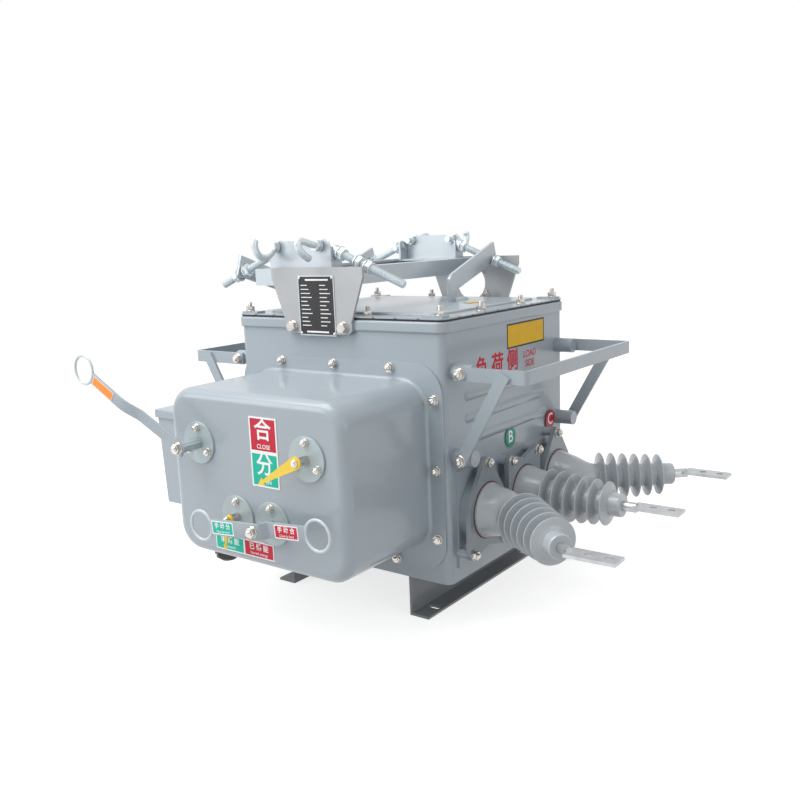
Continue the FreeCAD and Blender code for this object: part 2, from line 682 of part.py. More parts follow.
for s in SIDES:
    for q in SIDES:
        px = s + " * (half_w - stud_in)"
        py = q + " * (half_d - stud_in)"
        plate = box("tab_len", "tab_w", "tab_t", "(%s) - %s * (tab_len / 2 - 13)" % (px, s), py,
                    "lid_low + lid_t + tab_t / 2")
        tabs.append(cut(plate, cyl("stud_r + gap", "3 * tab_t", px, py, "lid_low")))
node("lid_clamps", *tabs)
studs = []
for px, py in LID_STUDS:
    seat = "lid_low + lid_t"
    if "half_w" in px and "half_d" in py:
        seat = "lid_low + lid_t + tab_t"
    core = cyl("stud_r", "stud_hgt + gasket + wall + 10", px, py, "rim_top - wall - 6")
    washer = cyl("10.5", "1.8", px, py, seat)
    nut = hexagon("17", "8", px, py, seat + " + 1.8")
    below = hexagon("17", "5", px, py, "rim_top - wall - 5")
    studs.append(fuse(core, washer, nut, below))
node("lid_studs", *studs)

# Mechanism cover: a deep drawn box on a flange, held to the front wall by twelve bolts.
drawn = box("cover_w", "cover_d", "cover_top - cover_low", "0", "-(half_d + cover_d / 2)",
            "(cover_top + cover_low) / 2")
drawn = soften(drawn, size("cover_r"), lambda edge: runs(edge, (0, 1, 0)))
drawn = soften(drawn, size("cover_edge"), lambda edge: abs(edge.CenterOfMass.y - size("face_y")) < 0.1)
plate = box("flange_w", "flange_t", "flange_hgt", "0", "-(half_d + flange_t / 2)", "flange_z")
plate = soften(plate, size("flange_r"), lambda edge: runs(edge, (0, 1, 0)))


def at_root(edge):
    # the line where the drawn box meets the front of its flange
    middle = edge.CenterOfMass
    level = size("cover_low") - 1 <= middle.z <= size("cover_top") + 1
    beside = abs(middle.x) <= size("cover_w") / 2 + 1 and level
    return beside and abs(middle.y + size("half_d") + size("flange_t")) < 0.1


cavity = box("cover_w - 2 * cover_t", "cover_d", "cover_top - cover_low - 2 * cover_t", "0",
             "-(half_d + cover_d / 2 - cover_t)", "(cover_top + cover_low) / 2")
cavity = soften(cavity, size("cover_r") - size("cover_t"), lambda edge: runs(edge, (0, 1, 0)))
cavity = soften(cavity, size("cover_edge") - size("cover_t"),
                lambda edge: abs(edge.CenterOfMass.y - size("face_y") - size("cover_t")) < 0.1)
holes = [cyl("5 + gap", "3 * flange_t", px, "-(half_d + 2 * flange_t)", pz, TO_Y)
         for px, pz in COVER_BOLTS]
SHAFTS = (("-disc_x", "disc_z"), ("disc_x", "disc_z"), ("-low_x", "low_z"), ("low_x", "low_z"))
for px, pz in SHAFTS:
    holes.append(cyl("shaft_r + 4", "6 * cover_t", px, "face_y - 2 * cover_t", pz, TO_Y))
holes.append(cyl("sock_r - 7 + gap", "60", "-sock_x", "-sock_y", "cover_low - 20"))
holes.append(cyl("9", "10 * cover_t", "-(cover_w / 2 + 10)", "-(tbox_y - tbox_d / 2)",
                 "tbox_z + tbox_hgt / 2", TO_X))
DISC_BOLTS = {}
for px, pz in SHAFTS:
    DISC_BOLTS[(px, pz)] = [("(%s) + disc_pcd * cos(%s)" % (px, angle),
                             "(%s) + disc_pcd * sin(%s)" % (pz, angle))
                            for angle in ("90", "210", "330")]
every = [spot for place in SHAFTS for spot in DISC_BOLTS[place]]
holes += [cyl("4 + gap", "6 * cover_t", px, "face_y - 2 * cover_t", pz, TO_Y) for px, pz in every]
body = soften(fuse(drawn, plate), size("cover_root"), at_root)
node("mech_cover", cut(body, cavity, *holes))
node("cover_bolts", *[bolt("17", "6.4", "5", "flange_t + wall + 6", px, "-(half_d + flange_t)", pz, TO_Y)
                      for px, pz in COVER_BOLTS])
discs = []
for px, pz in SHAFTS:
    disc = soften(cyl("disc_r", "disc_t", px, "face_y", pz, TO_NY), 1,
                  lambda edge: abs(edge.CenterOfMass.y - size("disc_y")) < 0.1)
    bores = [cyl("shaft_r + run", "3 * disc_t", px, "disc_y - disc_t", pz, TO_Y)]
    bores += [cyl("4 + gap", "3 * disc_t", bx, "disc_y - disc_t", bz, TO_Y)
              for bx, bz in DISC_BOLTS[(px, pz)]]
    discs.append(cut(disc, *bores))
node("bearing_discs", *discs)
node("disc_bolts", *[bolt("13", "5.3", "4", "disc_t + cover_t + 5", px, "disc_y", pz, TO_Y)
                     for px, pz in every])

# Front shafts and what is worked by hand. The open state is modelled: spring charged, arms at rest.
TO_FRONT = "0; 0; 90"
axis_x = "-disc_x"
shaft = cyl("shaft_r", "arm_out - 6 + 220", axis_x, "face_y - arm_out + 6", "disc_z", TO_Y)
stub = box("stub_w", "arm_out - disc_t - 1.5 - arm_t / 2", "stub_w", axis_x,
           "face_y - disc_t - 1.5 - (arm_out - disc_t - 1.5 - arm_t / 2) / 2", "disc_z",
           "0; arm_turn; 0")
cam = cyl("40", "12", "-disc_x - 10", "-390", "disc_z - 6", TO_Y)
TEETH = 16
wheel = []
for k in range(TEETH):
    wheel.append(("44 * cos(%s)" % (k * 360 / TEETH), "44 * sin(%s)" % (k * 360 / TEETH)))
    wheel.append(("37 * cos(%s)" % (k * 360 / TEETH + 3), "37 * sin(%s)" % (k * 360 / TEETH + 3)))
ratchet = prism(wheel, "8", axis_x, "-420", "disc_z", TO_FRONT)
stem = cyl("6", "arm_t + 20", axis_x, "face_y - arm_out - arm_t / 2 - 4", "disc_z", TO_Y)
head = hexagon("17", "6.4", axis_x, "face_y - arm_out - arm_t / 2 - 1.6", "disc_z", TO_NY)
washer = cyl("11", "1.6", axis_x, "face_y - arm_out - arm_t / 2", "disc_z", TO_NY)
node("charge_shaft", fuse(shaft, stub, cam, ratchet, stem, head, washer))


# The arm lies along its own X; Y of the outline is depth, so it is pushed out along the width.
near = "-arm_t / 2"
far = "-arm_t / 2 - arm_jog"
JOG_STEPS = 8
tip = "arm_len - ring_r + 4"
line = [("-arm_end", near)]
for k in range(JOG_STEPS + 1):
    share = k / JOG_STEPS
    rise = 3 * share ** 2 - 2 * share ** 3
    line.append(("arm_bend + %s * (arm_bent - arm_bend)" % share, "-arm_t / 2 - %s * arm_jog" % rise))
line.append((tip, far))
profile = line + [(along, deep + " + arm_t") for along, deep in reversed(line)]
HANDLE = "placement(vector(%s; %s; %s); rotation(0; 180 + arm_turn; 0))" % (
    rule("-disc_x"), rule("face_y - arm_out"), rule("disc_z"))


def carry(obj, shift, turn=UP):
    # places a piece in the charging handle's own frame
    text = HANDLE + " * placement(vector(%s); rotation(%s))" % ("; ".join(rule(v) for v in shift), turn)
    obj.setExpression("Placement",
                      text.replace("arm_turn", "Dims.arm_turn").replace("Dims.Dims.", "Dims."))
    return obj


bar = carry(prism(profile, "arm_w", "0", "0", "0"), ("0", "0", "-arm_w / 2"))
eye = carry(cyl("ring_r", "arm_t", "0", "0", "0"), ("arm_len", far, "0"), TO_Y)
eye_hole = carry(cyl("ring_in", "3 * arm_t", "0", "0", "0"), ("arm_len", far + " - arm_t", "0"), TO_Y)
pivot_hole = carry(cyl("6 + gap", "5 * arm_t", "0", "0", "0"), ("0", "-2 * arm_t", "0"), TO_Y)
node("charge_handle", cut(fuse(bar, eye), eye_hole, pivot_hole))


# Manual lever with a ring at each end; its left half is set forward to clear the spring pointer.
LEVER = "placement(vector(%s; %s; %s); rotation(0; 0 - %s; 0))" % (
    rule("low_x"), rule("face_y - lev_out"), rule("low_z"), rule("lev_turn"))


def lever_part(obj, shift, turn=UP):
    spot = "; ".join(rule(v) for v in shift)
    obj.setExpression("Placement", LEVER + " * placement(vector(%s); rotation(%s))" % (spot, turn))
    return obj


front = "-lev_t / 2"
ahead = "-lev_t / 2 - lev_jog"
line = [("-(lev_left - lev_ring + 5)", ahead), ("-lev_bent", ahead), ("-lev_bend", front),
        ("lev_right - lev_ring + 5", front)]
profile = line + [(along, deep + " + lev_t") for along, deep in reversed(line)]
bar = lever_part(prism(profile, "lev_w", "0", "0", "0"), ("0", "0", "-lev_w / 2"))
rings = []
holes = []
for side, deep in (("-lev_left", ahead), ("lev_right", front)):
    rings.append(lever_part(cyl("lev_ring", "lev_t", "0", "0", "0"), (side, deep, "0"), TO_Y))
    holes.append(lever_part(cyl("lev_hole", "3 * lev_t", "0", "0", "0"), (side, deep + " - lev_t", "0"),
                            TO_Y))
holes.append(lever_part(cyl("6 + gap", "5 * lev_t", "0", "0", "0"), ("0", "-2 * lev_t", "0"), TO_Y))
node("trip_lever", cut(fuse(bar, *rings), *holes))
shaft = cyl("shaft_r", "lev_out - lev_t / 2 + 60", "low_x", "face_y - lev_out + lev_t / 2", "low_z",
            TO_Y)
stem = cyl("6", "lev_t + 12", "low_x", "face_y - lev_out - lev_t / 2 - 6", "low_z", TO_Y)
head = hexagon("19", "7", "low_x", "face_y - lev_out - lev_t / 2 - 1.6", "low_z", TO_NY)
washer = cyl("12", "1.6", "low_x", "face_y - lev_out - lev_t / 2", "low_z", TO_NY)
pawl = box("16", "8", "56", "low_x", "face_y + 38", "low_z + 20")
node("trip_shaft", fuse(shaft, stem, head, washer, pawl))


def pointer(px, py, pz, length, share, lean):
    # a flat tapered pointer with an arrowhead and a round eye; lean is its turn about Y
    frame = "placement(vector(%s; %s; %s); rotation(0; %s; 0))" % (rule(px), rule(py), rule(pz),
                                                                   rule(lean))
    neck = "%s - %s * ptr_head" % (length, share)
    edge = [("0", "ptr_r"), (neck, "ptr_neck"), (neck, "ptr_barb")]
    points = [(along, "-(%s) * %s" % (wide, share)) for along, wide in edge] + [(length, "0")]
    points += [(along, "(%s) * %s" % (wide, share)) for along, wide in reversed(edge)]
    blade = prism(points, "ptr_t", "0", "0", "0")
    blade.setExpression("Placement", frame + " * placement(vector(0; 0; 0); rotation(0; 0; 90))")
    round_eye = cyl("ptr_r * %s" % share, "ptr_t", "0", "0", "0")
    round_eye.setExpression("Placement", frame + " * placement(vector(0; 0; 0); rotation(%s))" % TO_NY)
    return blade, round_eye


blade, disc = pointer("disc_x", "face_y - ptr_out", "disc_z", "ptr_len", "1", "180 - ptr_turn")
node("position_pointer", fuse(blade, disc))
blade, disc = pointer("-low_x", "face_y - eng_out", "low_z", "eng_len", "eng_share", "90 + eng_turn")
shaft = cyl("shaft_r", "eng_out + 50", "-low_x", "face_y - eng_out - ptr_t / 2", "low_z", TO_Y)
nose = cyl("5", "ptr_t + 3", "-low_x", "face_y - eng_out", "low_z", TO_NY)
node("energy_pointer", fuse(blade, disc, shaft, nose))

# Main shaft: a crankshaft from the pointer through the front wall to the rear bearing.
ends = "half_d - wall - 10"
journal = cyl("shaft_r", "ptr_out + 30", "disc_x", "face_y - ptr_out", "disc_z", TO_Y)
pieces = [journal]
marks = ["face_y + 27"]
for py in PHASES:
    marks.append("(%s) - eye_t / 2 - 1 - cheek_t" % py)
    marks.append("(%s) + eye_t / 2 + 1 + cheek_t" % py)
    for q, start in (("-1", "(%s) - eye_t / 2 - 1 - cheek_t" % py), ("1", "(%s) + eye_t / 2 + 1" % py)):
        pieces.append(cyl("cheek_r", "cheek_t", "disc_x", start, "disc_z", TO_Y))
    pieces.append(cyl("pin_r", "eye_t + 2 + cheek_t", "pin_x", "(%s) - eye_t / 2 - 1 - cheek_t / 2" % py,
                      "vi_z", TO_Y))
marks.append(ends)
for k in range(0, len(marks), 2):
    pieces.append(cyl("main_r", "(%s) - (%s)" % (marks[k + 1], marks[k]), "disc_x", marks[k], "disc_z",
                      TO_Y))
pieces.append(box("64", "10", "22", "disc_x - 32 * cos(30)", "-400", "disc_z + 32 * sin(30)",
                  "0; 30; 0"))
pieces.append(cyl("11", "22", "disc_x - 62 * cos(30)", "-411", "disc_z + 62 * sin(30)", TO_Y))
node("main_shaft", fuse(*pieces))
seal = fuse(cyl("main_r + 8 - 0.2", "2 * wall + 5", "disc_x", "-(half_d - 8)", "disc_z", TO_NY),
            cyl("32", "8", "disc_x", "-(half_d - wall)", "disc_z", TO_Y))
seal = cut(seal, cyl("main_r + run", "60", "disc_x", "-(half_d + 20)", "disc_z", TO_Y))
rear = cut(cyl("28", "18", "disc_x", "half_d - wall - 18", "disc_z", TO_Y),
           cyl("main_r + run", "12", "disc_x", "half_d - wall - 19", "disc_z", TO_Y))
node("shaft_bearings", seal, rear)

# Name and state plates on the cover, all bare apart from their colour fields.
node("state_plates", box("70", "1", "133", "35", "face_y - 0.5", "386.5"),
     box("158", "1", "32", "-36", "face_y - 0.5", "193"))
node("rating_plate", box("98", "1.2", "123", "-30", "-(half_d + rim_out + gus_t + 0.6)", "634.5"))

# Terminal box on the cover's left wall, with its lid and terminal strip.
bx = "-(cover_w / 2 + tbox_w / 2)"
by = "-(tbox_y - tbox_d / 2)"
near_x = "-cover_w / 2"
foot_x = "-(cover_w / 2 + tbox_w - tbox_taper)"
head_x = "-(cover_w / 2 + tbox_w)"
tbox_top = "tbox_z + tbox_hgt"
body = prism([(near_x, "tbox_z"), (near_x, tbox_top), (head_x, tbox_top), (foot_x, "tbox_z")], "tbox_d",
             "0",
             by + " + tbox_d / 2", "0", TO_FRONT)
body = soften(body, 4, lambda edge: runs(edge, (0, 0, 1)))
space = prism([(near_x + " - tbox_t", "tbox_z + tbox_t"), (near_x + " - tbox_t", tbox_top + " + tbox_t"),
               (head_x + " + tbox_t", tbox_top + " + tbox_t"),
               (foot_x + " + tbox_t", "tbox_z + tbox_t")],
              "tbox_d - 2 * tbox_t", "0", by + " + tbox_d / 2 - tbox_t", "0", TO_FRONT)
port = cyl("9", "20", "-(cover_w / 2 + 10)", by, "tbox_z + tbox_hgt / 2", TO_X)
node("terminal_box", cut(body, space, port))
cap = box("tbox_w + tlid_out", "tbox_d + 2 * tlid_out", "tlid_hgt",
          "-(cover_w / 2 + (tbox_w + tlid_out) / 2)", by,
          "tbox_z + tbox_hgt + tlid_hgt / 2")
cap = soften(cap, 3,
             lambda edge: edge.CenterOfMass.z > size("tbox_z") + size("tbox_hgt") + size("tlid_hgt") - 0.1
             or (runs(edge, (0, 0, 1)) and edge.CenterOfMass.x < -size("cover_w") / 2 - 20))
under = box("tbox_w + tlid_out - 2 * tbox_t", "tbox_d + 2 * tlid_out - 2 * tbox_t", "tlid_hgt",
            "-(cover_w / 2 + (tbox_w + tlid_out) / 2)", by, "tbox_z + tbox_hgt + tlid_hgt / 2 - tbox_t")
lip = box("tbox_w", "tbox_d", "3 * tbox_t", bx, by, "tbox_z + tbox_hgt + 1.5 * tbox_t")
rim_bar = cut(lip, box("tbox_w - 4 * tbox_t", "tbox_d - 4 * tbox_t", "20", bx, by, "tbox_z + tbox_hgt"))
stays = [box("tbox_t", "tbox_d + 2 * tlid_out - 4", "tlid_hgt - 1",
             "(%s) + %s * (tbox_w / 2 - 3)" % (bx, q), by,
             "tbox_z + tbox_hgt + (tlid_hgt - 1) / 2") for q in SIDES]
node("terminal_lid", fuse(cut(cap, under), rim_bar, *stays))
strip = box("100", "30", "18", bx, by + " + 20", "tbox_z + tbox_t + 9 + 40")
foot = box("60", "24", "40", bx, by + " + 20", "tbox_z + tbox_t + 20")
caps = [cyl("3.2", "4", "(%s) + %s" % (bx, k), by + " + 20", "tbox_z + tbox_t + 58")
        for k in ("-40", "-24", "-8", "8", "24", "40")]
node("terminal_strip", fuse(strip, foot, *caps))

# Round control socket under the cover: collar, nut inside and a ribbed plug.
collar = cyl("sock_r", "sock_drop - 6", "-sock_x", "-sock_y", "cover_low", DOWN)
grips = [cyl("3", "sock_drop - 20", "-sock_x + (sock_r - 0.5) * cos(%s)" % k,
             "-sock_y + (sock_r - 0.5) * sin(%s)" % k,
             "cover_low - 8", DOWN) for k in ("0", "45", "90", "135", "180", "225", "270", "315")]
neck = cyl("sock_r - 7", "26", "-sock_x", "-sock_y", "cover_low - 1")
ring_nut = hexagon("46", "6", "-sock_x", "-sock_y", "cover_low + 12")
drop = cone("sock_r - 3", "sock_r - 9", "7", "-sock_x", "-sock_y", "cover_low - sock_drop + 6", DOWN)
node("control_socket", fuse(collar, neck, ring_nut, drop, *grips))

# Side frames: a flat bar bent round each end wall with two struts, bolted to the bosses.
frames = []
bolts = []
arm_y = "(boss_y + boss_r + bar_t)"
for s in SIDES:
    long = "(frame_x - half_w - 13)"
    mid = s + " * (frame_x - (frame_x - half_w - 13) / 2)"
    whole = soften(box(long, "2 * " + arm_y, "bar_w", mid, "0", "boss_up"), 8,
                   lambda edge: runs(edge, (0, 0, 1)) and abs(edge.CenterOfMass.x) > size("frame_x") - 1)
    clear = box(long, "2 * (boss_y + boss_r)", "bar_w + 4", mid + " - %s * bar_t" % s, "0", "boss_up")
    bent = cut(whole, clear)
    parts = [bent]
    drills = []
    for q in SIDES:
        outer_y = q + " * (boss_y + boss_r + bar_t)"
        lean = math.degrees(math.atan2(size("strut_top") - size("frame_bolt"),
                                       size("boss_up") - size("boss_low")))
        lean = "%f" % (lean if s == "1" else -lean)
        reach = "sqrt((strut_top - frame_bolt) ^ 2 + (boss_up - boss_low) ^ 2)"
        deep = outer_y + " + %s * bar_t / 2" % q
        parts.append(box("strut_w", "bar_t", reach + " + 10", s + " * (strut_top + frame_bolt) / 2",
                         deep,
                         "(boss_up + boss_low) / 2", "0; %s; 0" % lean))
        parts.append(cyl("strut_w / 2", "bar_t", s + " * frame_bolt", deep + " - bar_t / 2", "boss_low",
                         TO_Y))
        parts.append(cyl("13", "bar_t", s + " * frame_bolt",
                         q + " * (boss_y + boss_r + bar_t / 2) - bar_t / 2", "boss_low", TO_Y))
        back = TO_NY if q == "1" else TO_Y
        for up, out in (("boss_up", "bar_t"), ("boss_low", "2 * bar_t")):
            seat = q + " * (boss_y + boss_r + %s)" % out
            drills.append(cyl("6 + gap", "6 * bar_t", s + " * frame_bolt", seat + " - 3 * bar_t", up,
                              TO_Y))
            turn = TO_NY if q == "1" else TO_Y
            bolts.append(bolt("19", "7.5", "6", "boss_tap - 3 + %s" % out, s + " * frame_bolt", seat, up,
                              turn))
    frames.append(cut(fuse(*parts), *drills))
node("side_frames", *frames)
node("frame_bolts", *bolts)

# Bushing clamps, gasket rings and their bolts. Straight flanks join each ear to the ring.
WEB = [("clamp_r * web_cos", "-clamp_r * web_sin"), ("ear_pcd + ear_r * web_cos", "-ear_r * web_sin"),
       ("ear_pcd + ear_r * web_cos", "ear_r * web_sin"), ("clamp_r * web_cos", "clamp_r * web_sin")]
clamps = []
seals = []
posts = []
for s in SIDES:
    way = TO_X if s == "1" else TO_NX
    for py in PHASES:
        drum = cyl("drum_r", "seat_in", s + " * seat_x", py, "bush_z", way)
        ring = cyl("clamp_r", "clamp_t", s + " * (clamp_x - clamp_t)", py, "bush_z", way)
        parts = [drum, ring]
        tools = [cyl("foot_r + gap", "seat_in - clamp_t", s + " * seat_x", py, "bush_z", way),
                 cyl("clamp_hole", "seat_in + 2", s + " * seat_x", py, "bush_z", way)]
        for angle in ears(py):
            ey, ez = ear_spot(py, angle)
            rear = "clamp_x - clamp_t" if s == "1" else "-clamp_x"
            parts.append(prism(WEB, "clamp_t", rear, py, "bush_z", "90; 0 - (%s); 90" % angle))
            parts.append(cyl("ear_r", "clamp_t", s + " * (clamp_x - clamp_t)", ey, ez, way))
            tools.append(cyl("5 + gap", "3 * clamp_t", s + " * (clamp_x - 2 * clamp_t)", ey, ez, way))
            start = "half_w + doubler"
            if py != "0" and angle == "90":
                start = "half_w"
            post = cyl("post_r", "clamp_x - clamp_t - (%s)" % start, s + " * (%s)" % start, ey, ez, way)
            core = cyl("5", "clamp_x - half_w + 30", s + " * (half_w - 12)", ey, ez, way)
            washer = cyl("10", "1.8", s + " * clamp_x", ey, ez, way)
            nut = hexagon("17", "8", s + " * (clamp_x + 1.8)", ey, ez, way)
            inner = hexagon("17", "5", s + " * (half_w - wall)", ey, ez, TO_NX if s == "1" else TO_X)
            posts.append(fuse(post, core, washer, nut, inner))
        clamps.append(cut(fuse(*parts), *tools))
        seals.append(cut(cyl("clamp_hole - 0.1", "clamp_t + 1", s + " * (clamp_x - clamp_t)", py,
                             "bush_z", way),
                         cyl("root_r + 0.1", "3 * clamp_t", s + " * (clamp_x - 2 * clamp_t)", py,
                             "bush_z", way)))
node("bushing_clamps", *clamps)
node("bushing_gaskets", *seals)
node("clamp_studs", *posts)


def shed_row(first, count="6"):
    # profile points of a row of sheds on the core, from the first shed outward
    points = []
    for k in range(int(count)):
        spot = "%s + %d * shed_step" % (first, k)
        wide = "shed_r - %d * shed_less" % k
        near_r = "core_r" if k else "core_r + 2"
        if k:
            points.append(("core_r - 0.4 * %d" % k, spot + " - 8"))
            points.append(("core_r + 5", spot + " - 5"))
        points.append((wide + " - 1", spot + " - shed_t / 2"))
        points.append((wide, spot + " - shed_t / 2 + 1"))
        points.append((wide, spot + " + shed_t / 2 - 1"))
        points.append((wide + " - 1", spot + " + shed_t / 2"))
        points.append(("core_r + 5", spot + " + 4"))
        points.append((near_r + " - 0.4 * %d" % k, spot + " + 7"))
    return points


def foot(bore):
    # profile of a bushing from its inner end to the clamp; height zero is the front of the clamp
    return [(bore, "-neck_end"), ("neck_r - 8", "-neck_end"), ("neck_r", "-neck_end + 8"),
            ("neck_r", "-seat_in"),
            ("foot_r", "-seat_in"), ("foot_r", "-clamp_t"), ("root_r", "-clamp_t"), ("root_r", "4")]


LAST = "5 * shed_step"
bore = "rod_r + fit"
straight = []
for s, py in (("1", "0"), ("-1", "-phase"), ("-1", "0"), ("-1", "phase")):
    top = "first_shed + %s + cap_len" % LAST
    profile = foot(bore) + [("straight_r + 1", "first_shed - 5")] + shed_row("first_shed")
    profile += [("cap_r", "%s - 4" % top), ("cap_r - 1.5", top), (bore, top)]
    straight.append(turned(profile, s + " * clamp_x", py, "bush_z", TO_X if s == "1" else TO_NX))
node("straight_bushings", *straight)

bent = []
for q in SIDES:
    py = q + " * phase"
    root = turned(foot("0") + [("0", "4")], "clamp_x", py, "bush_z", TO_X)
    turn = "%s * bend_turn; 90; 0" % q
    half = "%s * bend_turn / 2; 90; 0" % q
    trunk = loft(("root_r - 0.2", "clamp_x + 2", py, "bush_z", TO_X),
                 ("trunk_r", "clamp_x + trunk_x", py, "bush_z", TO_X),
                 ("bend_r", "clamp_x + bend_x - bend_in * sin(bend_turn / 2)",
                  py + " + %s * bend_in * cos(bend_turn / 2)" % q,
                  "bush_z", half),
                 ("neck_big", "clamp_x + bend_x + neck_x * cos(bend_turn)",
                  py + " + %s * neck_x * sin(bend_turn)" % q,
                  "bush_z", turn),
                 ("bend_neck", "clamp_x + bend_x + (bend_shed - 7) * cos(bend_turn)",
                  py + " + %s * (bend_shed - 7) * sin(bend_turn)" % q, "bush_z", turn))
    tall = "bend_shed + %s + cap_len" % LAST
    profile = [("0", "bend_shed - 8"), ("bend_neck", "bend_shed - 8"),
               ("bend_neck + 6", "bend_shed - 4")]
    profile += shed_row("bend_shed") + [("cap_r", "%s - 4" % tall), ("cap_r - 1.5", tall), ("0", tall)]
    neck = turned(profile, "clamp_x + bend_x", py, "bush_z", turn)
    tools = [cyl(bore, "400", "clamp_x + bend_x - 400", py, "bush_z", TO_X),
             ball(bore, "clamp_x + bend_x", py, "bush_z"),
             cyl(bore, "400", "clamp_x + bend_x", py, "bush_z", turn)]
    bent.append(cut(fuse(root, trunk, neck), *tools))
node("bent_bushings", *bent)


def lug(side, py):
    # flat terminal with two holes, along X
    plate = box("lug_end - lug_x", "lug_w", "lug_t", side + " * (lug_end + lug_x) / 2", py,
                "bush_z + lug_t / 2")
    tools = [cyl("lug_hole", "4 * lug_t", side + " * (lug_end - %s)" % k, py, "bush_z - lug_t")
             for k in ("20", "56")]
    return plate, tools


terminals = []
for s, py in (("1", "0"), ("-1", "-phase"), ("-1", "0"), ("-1", "phase")):
    inner = "bar_x + bus_t / 2" if s == "1" else "line_x + bus_t / 2"
    bar = cyl("rod_r", "clamp_x + first_shed + %s + cap_len + 28 - (%s)" % (LAST, inner),
              s + " * (%s)" % inner, py, "bush_z",
              TO_X if s == "1" else TO_NX)
    plate, tools = lug(s, py)
    terminals.append(cut(fuse(bar, plate), *tools))
for q in SIDES:
    py = q + " * phase"
    inner = "bar_x + bus_t / 2"
    bar = cyl("rod_r", "clamp_x + bend_x - (%s)" % inner, inner, py, "bush_z", TO_X)
    knee = ball("rod_r", "clamp_x + bend_x", py, "bush_z")
    far_rod = cyl("rod_r", "(lug_y - phase) / sin(bend_turn) - 4", "clamp_x + bend_x", py, "bush_z",
                  "%s * bend_turn; 90; 0" % q)
    plate, tools = lug("1", q + " * lug_y")
    terminals.append(cut(fuse(bar, knee, far_rod, plate), *tools))
node("terminals", *terminals)

# Hanging bracket over the lid: gussets on the rim, a frame of angle iron and two uprights.
outer = box("hang_w", "2 * (half_d + rim_out)", "hang_leg", "hang_x", "0", "hang_top - hang_leg / 2")
below = box("hang_w - 2 * hang_t", "2 * (half_d + rim_out - hang_t)", "hang_leg", "hang_x", "0",
            "hang_top - hang_leg / 2 - hang_t")
inner = box("hang_w - 2 * hang_leg", "2 * (half_d + rim_out - hang_leg)", "2 * hang_leg", "hang_x", "0",
            "hang_top")
node("hanger_frame", cut(outer, below, inner))
gussets = []
bolts = []
for q in SIDES:
    mid = "-gus_x" if q == "-1" else "gus_x"
    start = "-(half_d + rim_out)" if q == "-1" else "half_d + rim_out + gus_t"
    corner = "gus_low + 26"
    plate = prism([("-gus_bot + 8", "gus_low"), ("gus_bot - 8", "gus_low"), ("gus_bot", "gus_low + 8"),
                   ("gus_bot", corner),
                   ("gus_top", "gus_high - 20"), ("gus_top", "gus_high"), ("-gus_top", "gus_high"),
                   ("-gus_top", "gus_high - 20"), ("-gus_bot", corner), ("-gus_bot", "gus_low + 8")],
                  "gus_t", mid, start,
                  "0", TO_FRONT)
    tools = []
    if q == "1":
        tools.append(cyl("gus_hole", "4 * gus_t", "gus_x - 9", "half_d + rim_out - gus_t", "gus_window",
                         TO_Y))
    for way in SIDES:
        px = "(%s) + %s * gus_bolt" % (mid, way)
        tools.append(cyl("6 + gap", "4 * gus_t", px, q + " * (half_d + rim_out) - 2 * gus_t",
                         "gus_bolt_z", TO_Y))
        turn = TO_NY if q == "1" else TO_Y
        seat = q + " * (half_d + rim_out + gus_t)"
        piece = bolt("19", "7.5", "6", "gus_t + rim_out + wall + 12", px, seat, "gus_bolt_z", turn)
        bolts.append(fuse(piece, hexagon("19", "6", px, q + " * (half_d - wall)", "gus_bolt_z", turn)))
    gussets.append(cut(plate, *tools))
node("hanger_gussets", *gussets)
node("gusset_bolts", *bolts)


def tie_point(way, q, along):
    # a point of a tie by its distance from the tip
    return ("hang_x + %s * (tie_tip - (%s) * cos(tie_turn))" % (way, along), q + " * tie_y",
            "tie_z + (%s) * sin(tie_turn)" % along)


uprights = []
for q in SIDES:
    sheet = q + " * (half_d - hang_t / 2)"
    face = prism([("-up_w / 2", "0"), ("up_w / 2", "0"), ("up_w / 2", "up_hgt - 14"),
                  ("up_w / 2 - 22", "up_hgt"),
                  ("-up_w / 2 + 22", "up_hgt"), ("-up_w / 2", "up_hgt - 14")], "hang_t", "hang_x",
                 q + " * (half_d - hang_t / 2) + hang_t / 2", "hang_top", TO_FRONT)
    parts = [face]
    tools = []
    for way in SIDES:
        parts.append(box("hang_t", "up_leg", "up_hgt - 14",
                         "hang_x + %s * (up_w / 2 - hang_t / 2)" % way,
                         q + " * (half_d - up_leg / 2)", "hang_top + (up_hgt - 14) / 2"))
        inward = "180; 90 - tie_turn; 0" if way == "1" else "0; 90 - tie_turn; 0"
        spot = "(tie_tip - up_w / 2) / cos(tie_turn)"
        parts.append(cyl("tie_boss", "12.5", *tie_point(way, q, spot + " - 8"), inward))
        tools.append(cyl("tie_r + fit", "60", *tie_point(way, q, spot + " - 30"), inward))
        tools.append(cyl("hook_r + gap", "4 * hang_t", "hang_x - 4 + %s * hook_gap" % way,
                         sheet + " - 2 * hang_t", "hook_z", TO_Y))
    uprights.append(cut(fuse(*parts), *tools))
node("hanger_uprights", *uprights)

